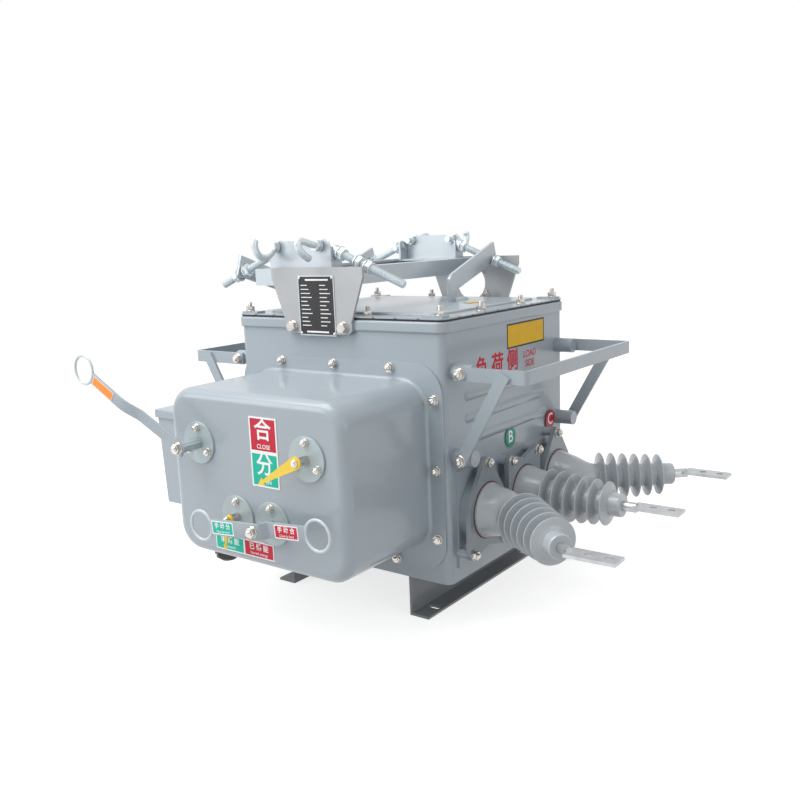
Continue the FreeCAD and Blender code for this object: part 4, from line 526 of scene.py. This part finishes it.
# node: outward way, on both sides, across the flats, nut's height, stud's radius, stud past the nut
FASTENER_SIZES = {
    "cover_bolts": ((0, -1, 0), False, 0.0165, 0.0068, 0.0048, 0.0045),
    "disc_bolts": ((0, -1, 0), False, 0.0125, 0.0050, 0.0036, 0.0040),
    "frame_bolts": ((0, 1, 0), True, 0.0190, 0.0080, 0.0060, 0.0030),
    "gusset_bolts": ((0, 1, 0), True, 0.0205, 0.0085, 0.0060, 0.0),
    "lid_studs": ((0, 0, 1), False, 0.0165, 0.0085, 0.0050, 0.0085),
    "clamp_studs": ((1, 0, 0), True, 0.0170, 0.0080, 0.0050, 0.0035),
}
for name, (way, both, across, nut_high, stud, stud_end) in FASTENER_SIZES.items():
    seats = seats_of(name, way, both)
    print(name, len(seats), {k: round(seats[0][k], 4) for k in ("height", "depth", "washer")})
    if name == "clamp_studs":
        continue
    model = fastener("one_" + name, across, across * WASHER_SHARE, nut_high, stud, stud_end,
                     min(DEEPEST, seats[0]["depth"]))
    made = spread("turned_" + name, model, seats)
    belong(made, bolt_nickel, "housing", "zinc", name)

# %% [markdown]
# The printed signs are thin films and plates. Each is a plane with its border made by an inset,
# given its own thickness, and its words are text turned into a mesh. They are plain words such
# as OPEN and CLOSE, which say what a part of the breaker does.

# %% Sign helpers
RIGHT = Vector((1, 0, 0))
BACK = Vector((0, 1, 0))
TOP = Vector((0, 0, 1))
FILM = 0.0004
INK = 0.00008
IN_FRONT = 0.0001


def stick(piece, centre, across, up):
    # stands a piece that lies in the XY plane on a wall: its X runs along across, its Y along up
    across = Vector(across).normalized()
    up = Vector(up).normalized()
    out = across.cross(up)
    place = Matrix((across, up, out)).transposed().to_4x4()
    piece.matrix_world = Matrix.Translation(centre) @ place
    take(piece)
    bpy.ops.object.transform_apply(location=True, rotation=True, scale=True)


def sign(name, width, height, border, field, edge, thick=FILM):
    # a film with a border of its own colour
    clear_selection()
    bpy.ops.mesh.primitive_plane_add(size=1.0, location=(0, 0, 0))
    piece = bpy.context.object
    piece.name = name
    piece.data.materials.append(edge)
    piece.data.materials.append(field)
    bpy.ops.object.mode_set(mode="EDIT")
    bpy.ops.mesh.select_all(action="SELECT")
    bpy.ops.transform.resize(value=(width, height, 1))
    bpy.ops.mesh.inset(thickness=border, depth=0.0)
    piece.active_material_index = 1
    bpy.ops.object.material_slot_assign()
    bpy.ops.object.mode_set(mode="OBJECT")
    depth = piece.modifiers.new("thickness", "SOLIDIFY")
    depth.thickness = thick
    depth.offset = -1.0
    take(piece)
    bpy.ops.object.modifier_apply(modifier=depth.name)
    return piece


def words(name, body, size, bold=0.0):
    clear_selection()
    bpy.ops.object.text_add(location=(0, 0, 0))
    text = bpy.context.object
    text.data.body = body
    text.data.size = size
    text.data.align_x = "CENTER"
    text.data.align_y = "CENTER"
    text.data.offset = bold
    text.data.extrude = INK
    bpy.ops.object.convert(target="MESH")
    text = bpy.context.object
    text.name = name
    return text


def put_on(piece, made, body, centre, across, up):
    stick(piece, centre, across, up)
    if made:
        piece.data.materials.clear()
        piece.data.materials.append(made)
    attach(piece, body)


print("sign helpers ready")

# %% Position and energy signs on the cover
SIGN_Y = -0.4975
SIGN_THICK = 0.001
POSITION_LEFT, POSITION_RIGHT = 0.0, 0.070
POSITION_LOW, POSITION_HIGH = 0.320, 0.453
POSITION_EDGE = 0.0032
ENERGY_LEFT, ENERGY_RIGHT = -0.115, 0.043
ENERGY_LOW, ENERGY_HIGH = 0.177, 0.209
ENERGY_EDGE = 0.0022

half_high = (POSITION_HIGH - POSITION_LOW) / 2
half_wide = (ENERGY_RIGHT - ENERGY_LEFT) / 2
position_x = (POSITION_LEFT + POSITION_RIGHT) / 2
energy_z = (ENERGY_LOW + ENERGY_HIGH) / 2
halves = []


def half_sign(name, spot, size, edge, field, lines):
    # one half of a sign; each line has its own ending, text, size, weight and height on the film
    film = sign(name + "_sign", size[0], size[1], edge, field, print_white, SIGN_THICK)
    put_on(film, None, "housing", (spot[0], SIGN_Y, spot[1]), RIGHT, TOP)
    halves.append(film)
    for ending, body, high, bold, level in lines:
        line = words(name + ending, body, high, bold)
        put_on(line, print_white, "housing", (spot[0], SIGN_Y - IN_FRONT, spot[1] + level), RIGHT, TOP)


for name, field, share, big, small in (("close", print_red, 1.5, "合", "CLOSE"),
                                       ("open", print_teal, 0.5, "分", "OPEN")):
    half_sign(name, (position_x, POSITION_LOW + share * half_high),
              (POSITION_RIGHT - POSITION_LEFT, half_high), POSITION_EDGE, field,
              (("_sign_letter", big, 0.044, 0.0007, 0.0075), ("_sign_word", small, 0.0115, 0.0001, -0.0225)))
for name, field, share, big, small in (("empty", print_teal, 0.5, "未 储 能", "Released"),
                                       ("stored", print_red, 1.5, "已 储 能", "Stored energy")):
    half_sign(name, (ENERGY_LEFT + share * half_wide, energy_z), (half_wide, ENERGY_HIGH - ENERGY_LOW),
              ENERGY_EDGE, field,
              (("_sign_letter", big, 0.0145, 0.0002, 0.0045), ("_sign_word", small, 0.0080, 0.0, -0.0080)))
for film in halves:
    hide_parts("state_plates")
print("signs on the cover:", len(halves))

# %% [markdown]
# The right wall bulges a little with its ribs. A film must lie on it and never inside it, so a
# ray from outside finds the wall at nine places under each film, and the highest of them counts.

# %% Signs on the right wall
RAY_FROM = 0.60
ON_WALL = 0.0002
PHASES = (("phase_b", print_green, "B", -0.0046, 0.3387, 0.0215),
          ("phase_c", print_crimson, "C", 0.1755, 0.3434, 0.022))
TAG_SPOT = (0.073, 0.5525)
TAG_SIZE = (0.164, 0.052)
TAG_EDGE = 0.0035
# name, text, size, weight, the middle and size of the wall that is tried, and the text's place
WALL_WORDS = (
    ("load_side", "LOAD\nSIDE", 0.0210, 0.0003, (0.088, 0.4985, 0.06, 0.03), (0.0885, 0.4962)),
    ("load_side_mark", "负 荷 侧", 0.0490, 0.0011, (-0.050, 0.5, 0.17, 0.05), (-0.0495, 0.4983)))


def wall_at(y, z):
    return nodes["tank"].ray_cast(Vector((RAY_FROM, y, z)), Vector((-1, 0, 0)))[1].x


def highest_wall(y, z, width, height):
    shares = (-0.45, 0.0, 0.45)
    return max(wall_at(y + a * width, z + b * height) for a in shares for b in shares)


for name, made, letter, y, z, radius in PHASES:
    face_x = highest_wall(y, z, radius * 2, radius * 2)
    disc = set_at(turned(name + "_disc", [(radius, 0.0), (radius, FILM)], 48), (face_x, y, z), RIGHT)
    belong(disc, made, "housing", "plates")
    mark = words(name + "_letter", letter, 0.036, 0.0006)
    put_on(mark, print_white, "housing", (face_x + FILM, y, z), BACK, TOP)
    print(name, "on the wall at", round(face_x, 4))
tag = sign("wall_tag", *TAG_SIZE, TAG_EDGE, print_yellow, print_black)
put_on(tag, None, "housing", (highest_wall(*TAG_SPOT, *TAG_SIZE) + FILM, *TAG_SPOT), BACK, TOP)
for name, body, high, bold, tried, spot in WALL_WORDS:
    wall_x = highest_wall(*tried) + ON_WALL
    put_on(words(name, body, high, bold), print_red, "housing", (wall_x, *spot), BACK, TOP)

# %% [markdown]
# The clamps of the bushings stand off the wall on painted posts, and only the nuts in front of
# them are bright. The CAD studs are one solid each, so they are made again in two pieces.

# %% Clamp posts and their nuts
CLAMP_FACE = 0.303
CLAMP_BACK = 0.293
CLAMP_WASHER = 0.0105
CLAMP_STUD_IN = 0.03
POST_FROM = 0.266
POST_RADIUS = 0.0098
POST_FOOT, POST_WELD = 0.0110, 0.002
posts = []
spots = []
for points in solids_of("clamp_studs"):
    low = Vector([min(p[i] for p in points) for i in range(3)])
    high = Vector([max(p[i] for p in points) for i in range(3)])
    side = 1 if high.x > 0 else -1
    y, z = (low.y + high.y) / 2, (low.z + high.z) / 2
    post = turned("post", [(POST_FOOT, 0.0), (POST_RADIUS, POST_WELD),
                           (POST_RADIUS, CLAMP_BACK - POST_FROM)], 28)
    posts.append(set_at(post, (side * POST_FROM, y, z), (side, 0, 0)))
    spots.append({"seat": Vector((side * CLAMP_FACE, y, z)), "out": Vector((side, 0, 0))})
belong(joined("clamp_posts", posts), grey_enamel, "housing", "grey_paint", "clamp_studs")
across, nut_high, stud, stud_end = FASTENER_SIZES["clamp_studs"][2:]
model = fastener("one_clamp_nut", across, CLAMP_WASHER, nut_high, stud, stud_end, CLAMP_STUD_IN)
belong(spread("clamp_nuts", model, spots), bolt_nickel, "housing", "zinc", "clamp_studs")
print("clamp posts:", len(posts))

# %% [markdown]
# Round bar is bent cold into the four hooks. A NURBS line through a few points gives the smooth
# bends of a real hook, where CAD has straight runs, and its bevel makes the bar.

# %% Hooks
HOOK_BAR = 0.0075
HOOK_LEVEL = 0.756
WALL_Y = 0.250
UPRIGHT_THICK = 0.005
HOOK_LEFT, HOOK_RIGHT = -0.144, -0.024
HOOK_NUT = 0.022
HOOK_WASHER, HOOK_WASHER_THICK = 0.013, 0.002
HOOK_NUT_END = 0.0135
RIM_DROP = 0.0005
# each point: millimetres out from the upright's face and up from the level of the hole
RISING = [(-29, 0), (2, 0), (9, -6), (20, -20), (42, -24), (56, -12), (61, 1), (61, 9), (58, 14.5)]
FALLING = [(-29, 0), (6, 0), (24, 2), (42, 9), (59, 11), (63, 1), (54, -12), (44, -19), (30, -26)]


def bent_bar(name, points, radius):
    # round bar along a smooth line, made a closed mesh
    data = bpy.data.curves.new(name, "CURVE")
    data.dimensions = "3D"
    data.bevel_depth = radius
    data.bevel_resolution = 5
    data.use_fill_caps = True
    data.resolution_u = 8
    line = data.splines.new("NURBS")
    line.points.add(len(points) - 1)
    for point, place in zip(line.points, points):
        point.co = (*place, 1.0)
    line.order_u = 4
    line.use_endpoint_u = True
    bar = bpy.data.objects.new(name, data)
    scene.collection.objects.link(bar)
    take(bar)
    bpy.ops.object.convert(target="MESH")
    bar = bpy.context.object
    bpy.ops.object.shade_smooth_by_angle(angle=SMOOTH)
    return bar


bars = []
for front, x, shape in ((-1, HOOK_LEFT, RISING), (-1, HOOK_RIGHT, FALLING), (1, HOOK_RIGHT, RISING),
                        (1, HOOK_LEFT, FALLING)):
    points = [(x, front * (WALL_Y + out / 1000), HOOK_LEVEL + up / 1000) for out, up in shape]
    bars.append(bent_bar("hook", points, HOOK_BAR))
belong(joined("bent_hooks", bars), bright_zinc, "housing", "zinc", "hooks")

plain_nuts = []
for front in (-1, 1):
    for x in (HOOK_LEFT, HOOK_RIGHT):
        for seat, out in ((WALL_Y, front), (WALL_Y - UPRIGHT_THICK, -front)):
            pair = joined("hook_nut", [washer(HOOK_WASHER, HOOK_WASHER_THICK, RIM_DROP),
                                       nut("hex", HOOK_NUT, HOOK_WASHER_THICK, HOOK_NUT_END)])
            plain_nuts.append(set_at(pair, (x, front * seat, HOOK_LEVEL), (0, out, 0), 0.3))
belong(joined("hook_hexagons", plain_nuts), bright_zinc, "housing", "zinc", "hook_nuts")
print("hooks:", len(bars), "nuts:", len(plain_nuts))

# %% [markdown]
# Flat bar is cut as a quad and drawn on: its end edge is extruded from pair to pair of points, so
# the bar follows any bend. Solidify gives it its thickness and a small bevel softens its edges.

# %% Flat bar
NEAR = 1e-5


def at_depth(spot):
    # along, up and, where a bar is bent, depth
    return Vector((spot[0], spot[2] if len(spot) > 2 else 0.0, spot[1]))


def draw_on(piece, last, pair):
    # the edge between the last two points is extruded to the next two
    bpy.ops.mesh.select_mode(type="EDGE")
    bpy.ops.mesh.select_all(action="DESELECT")
    mesh = bmesh.from_edit_mesh(piece.data)
    ends = [at_depth(spot) for spot in last]
    for edge in mesh.edges:
        if all(min((vert.co - end).length for end in ends) < NEAR for vert in edge.verts):
            edge.select_set(True)
    bmesh.update_edit_mesh(piece.data)
    bpy.ops.mesh.extrude_region_move(TRANSFORM_OT_translate={"value": (0, 0, 0)})
    mesh = bmesh.from_edit_mesh(piece.data)
    for vert in [v for v in mesh.verts if v.select]:
        top = (vert.co - ends[0]).length < NEAR
        vert.co = at_depth(pair[0] if top else pair[1])
    bmesh.update_edit_mesh(piece.data)


def cut_bar(name, pairs, thick, soft=0.0010):
    clear_selection()
    bpy.ops.mesh.primitive_plane_add(size=1.0, rotation=(math.pi / 2, 0, 0))
    piece = bpy.context.object
    piece.name = name
    bpy.ops.object.transform_apply(location=True, rotation=True)
    bpy.ops.object.mode_set(mode="EDIT")
    mesh = bmesh.from_edit_mesh(piece.data)
    for vert in mesh.verts:
        pair = pairs[1] if vert.co.x > 0 else pairs[0]
        vert.co = at_depth(pair[0] if vert.co.z > 0 else pair[1])
    bmesh.update_edit_mesh(piece.data)
    for last, pair in zip(pairs[1:], pairs[2:]):
        draw_on(piece, last, pair)
    bpy.ops.mesh.select_all(action="SELECT")
    bpy.ops.mesh.remove_doubles(threshold=NEAR)
    bpy.ops.mesh.normals_make_consistent(inside=False)
    bpy.ops.object.mode_set(mode="OBJECT")
    wall = piece.modifiers.new("wall", "SOLIDIFY")
    wall.thickness = thick
    wall.offset = 0.0
    wall.use_even_offset = True
    rim = piece.modifiers.new("rim", "BEVEL")
    rim.width = soft
    rim.segments = 2
    rim.limit_method = "ANGLE"
    take(piece)
    bpy.ops.object.modifier_apply(modifier=wall.name)
    bpy.ops.object.modifier_apply(modifier=rim.name)
    bpy.ops.object.shade_smooth_by_angle(angle=SMOOTH)
    return piece


print("flat bar ready")

# %% [markdown]
# The four ties are threaded from end to end, and slope down from the uprights. Each carries its
# nuts, and three of them a clamp arm: a flat bar cut with a short leg that ends over the lid.

# %% Ties, nuts and clamp arms
TIE_SLOPE = math.radians(22)
TIE_TIP = 0.252
TIE_LEVEL = 0.675
TIE_SIDE = 0.228
TIE_LONG = 0.187
TIE_BAR = 0.008
TIE_NUT = 0.024
TIE_WASHER, TIE_WASHER_THICK = 0.0145, 0.0024
TIE_NUT_END = 0.0144
TIP_LONG = 0.0014
TIE_END = 0.0012
FRAME_X = -0.080
UPRIGHT_REACH = 0.085
BESIDE_UPRIGHT, BESIDE_ARM = 0.008, 0.010
FREE_NUTS = (0.136, 0.160)
ARM_THICK = 0.008
ARM_REACH = {1: 0.176, -1: 0.189}
LEG_FOOT = 0.6175
ARM_HEAD = [((-0.0060, 0.0400), (-0.0200, -0.0040)), ((0.176, -0.0250), (0.160, -0.0620)),
            ((0.188, -0.0360), (0.166, -0.0660))]


def tie_spot(side, front, along):
    return Vector((FRAME_X + side * (TIE_TIP - along * math.cos(TIE_SLOPE)), front * TIE_SIDE,
                   TIE_LEVEL + along * math.sin(TIE_SLOPE)))


def along_of(reach):
    return (TIE_TIP - reach) / math.cos(TIE_SLOPE)


def hanging_arm(hub, front):
    foot = LEG_FOOT - hub.z
    arm = cut_bar("arm", ARM_HEAD + [((0.188, foot), (0.166, foot))], ARM_THICK)
    return placed(arm, Matrix.Translation(hub) @ Matrix.Rotation(-front * math.pi / 2, 4, "Z"))


tie_model = thread("tie", TIE_BAR, TIE_END, TIE_LONG - TIE_END)
ties = []
tie_nuts = []
arms = []
for side in (-1, 1):
    for front in (-1, 1):
        inward = Vector((-side * math.cos(TIE_SLOPE), 0, math.sin(TIE_SLOPE)))
        end = tie_spot(side, front, 0.0)
        ties.append(set_at(copy_of(tie_model), end, inward))
        tip = turned("tip", [(TIE_BAR * 0.70, 0.0), (TIE_BAR * 0.90, TIP_LONG)], THREAD_SIDES)
        ties.append(set_at(tip, end, inward))
        stops = [(along_of(UPRIGHT_REACH) - BESIDE_UPRIGHT, -1)]
        with_arm = (side, front) != (1, -1)
        middle = along_of(ARM_REACH[side])
        if with_arm:
            stops += [(middle - BESIDE_ARM, -1), (middle + BESIDE_ARM, 1)]
        else:
            stops += [(along_of(reach), -1) for reach in FREE_NUTS]
        for along, way in stops:
            pair = joined("tie_nut", [washer(TIE_WASHER, TIE_WASHER_THICK, RIM_DROP),
                                      nut("hex", TIE_NUT, TIE_WASHER_THICK, TIE_NUT_END)])
            tie_nuts.append(set_at(pair, tie_spot(side, front, along), inward * way, 0.2))
        if with_arm:
            arms.append(hanging_arm(tie_spot(side, front, middle), front))
bpy.data.objects.remove(tie_model)
belong(joined("threaded_ties", ties), bright_zinc, "housing", "zinc", "tie_rods")
belong(joined("tie_hexagons", tie_nuts), bright_zinc, "housing", "zinc", "tie_nuts")
belong(joined("hanging_arms", arms), white_zinc, "housing", "silver_paint", "clamp_arms")
print("ties with nuts:", len(tie_nuts), "arms:", len(arms))

# %% [markdown]
# The charging handle is one flat bar, bent forward half way, with a ring for the pull hook of a
# lineman's rod. It is shaped as a strip whose end edge is extruded along the bends, and the ring
# is a flattened torus.

# %% Charging handle
PIVOT_X, PIVOT_Y, PIVOT_Z = -0.1415, -0.5475, 0.387
HANDLE_RISE = 31
HANDLE_HALF = 0.012
HANDLE_THICK = 0.005
RING_PLACE = 0.275
RING_DEPTH = -0.0312
RING_OUT, RING_IN = 0.032, 0.0258
RING_FLAT = 0.8
STRIP_SOFT = 0.0012
BAND_SPOT, BAND_DEPTH = 0.208, -0.0291
BAND_SIZE, BAND_EDGE = (0.062, 0.0195), 0.0010
BAND_SLOPE = 0.06
UNDER_FILM = 0.0003
# each bend: how far from the pivot, and how far in front of it as a negative depth
HANDLE_BENDS = [(-0.014, 0.0), (0.020, 0.0), (0.060, -0.0045), (0.104, -0.0095), (0.113, -0.0115),
                (0.124, -0.0155), (0.138, -0.0210), (0.150, -0.0245), (0.160, -0.0260), (0.200, -0.0286),
                (0.240, -0.0310), (0.247, -0.0310)]


def strip(name, bends, half, thick):
    pairs = [((x, half, depth), (x, -half, depth)) for x, depth in bends]
    return cut_bar(name, pairs, thick, STRIP_SOFT)


def turned_about_y(place, degrees):
    return Matrix.Translation(place) @ Matrix.Rotation(math.radians(degrees), 4, "Y")


def wire_rings(name, ring_sides):
    rings = []
    for x, depth, outer, inner in ring_sides:
        bpy.ops.mesh.primitive_torus_add(
            major_radius=(outer + inner) / 2, minor_radius=(outer - inner) / 2, major_segments=64,
            minor_segments=14, location=(x, depth, 0), rotation=(math.pi / 2, 0, 0))
        ring = bpy.context.object
        bpy.ops.object.transform_apply(location=True, rotation=True)
        bpy.ops.object.mode_set(mode="EDIT")
        bpy.ops.mesh.select_all(action="SELECT")
        bpy.ops.transform.resize(value=(1, RING_FLAT, 1), center_override=(x, depth, 0))
        bpy.ops.object.mode_set(mode="OBJECT")
        bpy.ops.object.shade_smooth_by_angle(angle=SMOOTH)
        rings.append(ring)
    return joined(name, rings)


in_place = turned_about_y((PIVOT_X, PIVOT_Y, PIVOT_Z), 180 + HANDLE_RISE)
handle = placed(strip("bent_handle", HANDLE_BENDS, HANDLE_HALF, HANDLE_THICK), in_place)
belong(handle, grey_enamel, "charging_arm", "grey_paint", "charge_handle")
handle_ring = placed(wire_rings("handle_ring", [(RING_PLACE, RING_DEPTH, RING_OUT, RING_IN)]), in_place)
belong(handle_ring, ring_paint, "charging_arm", "grey_paint", "charge_handle")
grip = sign("handle_band", *BAND_SIZE, BAND_EDGE, print_orange, print_white, UNDER_FILM)
grip_place = in_place @ Vector((BAND_SPOT, BAND_DEPTH - HANDLE_THICK / 2 - UNDER_FILM, 0))
along = in_place.to_3x3() @ Vector((-1, BAND_SLOPE, 0))
put_on(grip, None, "charging_arm", grip_place, along, -along.cross(BACK))
print("handle ring at", [round(v, 4) for v in in_place @ Vector((RING_PLACE, RING_DEPTH, 0))])

# %% [markdown]
# The manual lever is made the same way, a strip with a joggle beside its pivot and a ring of
# round wire at each end, for a pull to trip or a pull to close. Its two films say which is which.

# %% Manual lever
LEVER_X, LEVER_Y, LEVER_Z = 0.046, -0.5305, 0.252
LEVER_TILT = 4.6
LEVER_HALF = 0.0155
LEVER_THICK = 0.005
LEVER_RING = 0.141
LEVER_AHEAD = -0.017
WIRE_OUT, WIRE_IN = 0.0315, 0.0255
LEVER_BENDS = [(-0.1140, LEVER_AHEAD), (-0.0700, LEVER_AHEAD), (0.0100, LEVER_AHEAD), (0.0130, -0.0155),
               (0.0170, -0.0085), (0.0210, -0.0015), (0.0240, 0.0), (0.1140, 0.0)]
LEVER_RINGS = [(-LEVER_RING, LEVER_AHEAD, WIRE_OUT, WIRE_IN), (LEVER_RING, 0.0, WIRE_OUT, WIRE_IN)]
LEVER_TAGS = (("trip_tag", print_teal, -0.0800, LEVER_AHEAD, "手 动 分", "Open by hand"),
              ("close_tag", print_red, 0.0680, 0.0, "手 动 合", "Close by hand"))
LEVER_TAG_SIZE, LEVER_TAG_EDGE = (0.058, 0.0255), 0.0020
TAG_LETTER, TAG_WORD = (0.0120, 0.00025, 0.0035), (0.0062, 0.0, -0.0070)

lever_place = turned_about_y((LEVER_X, LEVER_Y, LEVER_Z), -LEVER_TILT)
lever = placed(strip("bent_lever", LEVER_BENDS, LEVER_HALF, LEVER_THICK), lever_place)
belong(lever, grey_enamel, "manual_lever", "grey_paint", "trip_lever")
lever_rings = placed(wire_rings("lever_rings", LEVER_RINGS), lever_place)
belong(lever_rings, ring_paint, "manual_lever", "grey_paint", "trip_lever")
lever_along = lever_place.to_3x3() @ RIGHT
lever_up = lever_place.to_3x3() @ TOP


def on_lever(piece, made, at, depth, up):
    put_on(piece, made, "manual_lever", lever_place @ Vector((at, depth, up)), lever_along, lever_up)


for name, field, at, depth, big, small in LEVER_TAGS:
    face = depth - LEVER_THICK / 2 - UNDER_FILM
    film = sign(name, *LEVER_TAG_SIZE, LEVER_TAG_EDGE, field, print_white, UNDER_FILM)
    on_lever(film, None, at, face, 0)
    for ending, body, (high, bold, up) in (("_letter", big, TAG_LETTER), ("_word", small, TAG_WORD)):
        on_lever(words(name + ending, body, high, bold), print_white, at, face - IN_FRONT, up)
print("lever rings at", LEVER_X - LEVER_RING, LEVER_X + LEVER_RING)

# %% [markdown]
# A bright bolt holds each thing that turns on the front: the lever, the handle and the two
# pointers. Each one rides with its own shaft, so it turns with it.

# %% Pivot bolts
PIVOT_STUD, PIVOT_STUD_IN = 0.0055, 0.012
lever_seat = (LEVER_X, LEVER_Y + LEVER_AHEAD - LEVER_THICK / 2, LEVER_Z)
handle_seat = (PIVOT_X, PIVOT_Y - HANDLE_THICK / 2, PIVOT_Z)
for name, body, seat, across, nut_high, stud_end in (
        ("lever_bolt", "manual_lever", lever_seat, 0.0185, 0.0075, 0.0050),
        ("handle_bolt", "charging_arm", handle_seat, 0.0195, 0.0085, 0.0040)):
    model = fastener(name, across, across * WASHER_SHARE, nut_high, PIVOT_STUD, stud_end, PIVOT_STUD_IN)
    belong(set_at(model, seat, -BACK, 0.4), bolt_nickel, body, "zinc")

POINTER_PIVOT = (0.1415, 0.387)
ENERGY_PIVOT = (-0.046, 0.252)
SLEEVE_RADIUS, SLEEVE_LONG, SLEEVE_FROM = 0.0094, 0.0185, -0.5008
pointer_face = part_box("position_pointer")[0].y
energy_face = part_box("energy_pointer")[0].y
for name, body, pivot, face, radius in (
        ("pointer_screw", "crankshaft", POINTER_PIVOT, pointer_face, 0.0070),
        ("energy_screw", "spring_gauge", ENERGY_PIVOT, energy_face, 0.0075)):
    screw = turned(name, [(radius, -0.001), (radius, 0.0022), (radius * 0.72, 0.0032),
                          (radius * 0.72, 0.0058), (radius * 0.55, 0.0066)], 36)
    belong(set_at(screw, (pivot[0], face, pivot[1]), -BACK), bolt_nickel, body, "zinc")
sleeve = turned("energy_sleeve", [(SLEEVE_RADIUS, 0.0), (SLEEVE_RADIUS, SLEEVE_LONG)], 36)
set_at(sleeve, (ENERGY_PIVOT[0], SLEEVE_FROM, ENERGY_PIVOT[1]), -BACK)
belong(sleeve, bolt_nickel, "spring_gauge", "zinc")
print("pointer faces at", round(pointer_face, 4), round(energy_face, 4))

# %% [markdown]
# The plate on the front gusset is black with a bright rim and a screw in each corner. Short
# white lines fill it in two columns, between a heavier line at its head and one at its foot.

# %% Plate with ruled lines
plate_low, plate_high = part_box("rating_plate")
plate_wide = plate_high.x - plate_low.x
plate_tall = plate_high.z - plate_low.z
plate_x = (plate_low.x + plate_high.x) / 2
plate_z = (plate_low.z + plate_high.z) / 2
PLATE_RIM = 0.0026
ROWS = 11
FIRST_ROW, ROW_STEP = 0.0415, 0.0082
LINE_HIGH, HEAD_HIGH = 0.0017, 0.0034
SCREW_IN = 0.0048

plate = sign("ruled_plate", plate_wide, plate_tall, PLATE_RIM, print_black, white_zinc,
             plate_high.y - plate_low.y)
put_on(plate, None, "housing", (plate_x, plate_low.y, plate_z), RIGHT, TOP)
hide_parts("rating_plate")


def ruled(x, z, long, high):
    # a short printed line; x is its left end and z its height, both from the plate's middle
    bpy.ops.mesh.primitive_plane_add(size=1.0)
    line = bpy.context.object
    bpy.ops.object.mode_set(mode="EDIT")
    bpy.ops.mesh.select_all(action="SELECT")
    bpy.ops.transform.resize(value=(long, high, 1))
    bpy.ops.mesh.extrude_region_move(TRANSFORM_OT_translate={"value": (0, 0, IN_FRONT)})
    bpy.ops.object.mode_set(mode="OBJECT")
    stick(line, (plate_x + x + long / 2, plate_low.y - IN_FRONT, plate_z + z), RIGHT, TOP)
    return line


lines = [ruled(-0.028, 0.0525, 0.062, HEAD_HIGH)]
for row in range(ROWS):
    z = FIRST_ROW - row * ROW_STEP
    lines.append(ruled(-0.041, z, 0.017 + 0.004 * (row * 5 % 4), LINE_HIGH))
    lines.append(ruled(0.010, z, 0.016 + 0.003 * (row * 7 % 5), LINE_HIGH))
lines.append(ruled(-0.030, -0.0535, 0.060, HEAD_HIGH))
belong(joined("plate_lines", lines), print_white, "housing", "plates")
screws = []
for a in (-1, 1):
    for b in (-1, 1):
        screw = turned("screw", [(0.0030, 0.0), (0.0030, 0.0008), (0.0022, 0.0016), (0.0010, 0.0020)], 20)
        x = plate_x + a * (plate_wide / 2 - SCREW_IN)
        z = plate_z + b * (plate_tall / 2 - SCREW_IN)
        screws.append(set_at(screw, (x, plate_low.y, z), -BACK))
belong(joined("plate_screws", screws), bolt_nickel, "housing", "zinc")
print("ruled plate with", len(lines), "lines")

# %% [markdown]
# A small plate and a round plug lie on the lid. A ray from above finds its surface under each.

# %% Small plate and plug on the lid
TAB_SPOT = (0.160, 0.045)
TAB_SIZE, TAB_EDGE, TAB_THICK = (0.046, 0.026), 0.0015, 0.0006
TAB_ALONG, TAB_UP = (0.35, 0.94, 0), (-0.94, 0.35, 0)
PLUG_SPOT = (0.078, 0.1215)
ABOVE_LID = 0.9


def lid_at(x, y):
    return nodes["lid"].ray_cast(Vector((x, y, ABOVE_LID)), Vector((0, 0, -1)))[1].z


tab = sign("lid_plate", *TAB_SIZE, TAB_EDGE, print_yellow, print_black, TAB_THICK)
put_on(tab, None, "housing", (*TAB_SPOT, lid_at(*TAB_SPOT) + TAB_THICK), TAB_ALONG, TAB_UP)
plug = turned("lid_plug", [(0.0150, 0.0), (0.0150, 0.0015), (0.0135, 0.0030), (0.0105, 0.0050),
                           (0.0060, 0.0060)], 40)
belong(set_at(plug, (*PLUG_SPOT, lid_at(*PLUG_SPOT)), TOP), disc_zinc, "housing", "zinc")
print("lid plate and plug at", round(lid_at(*TAB_SPOT), 4))
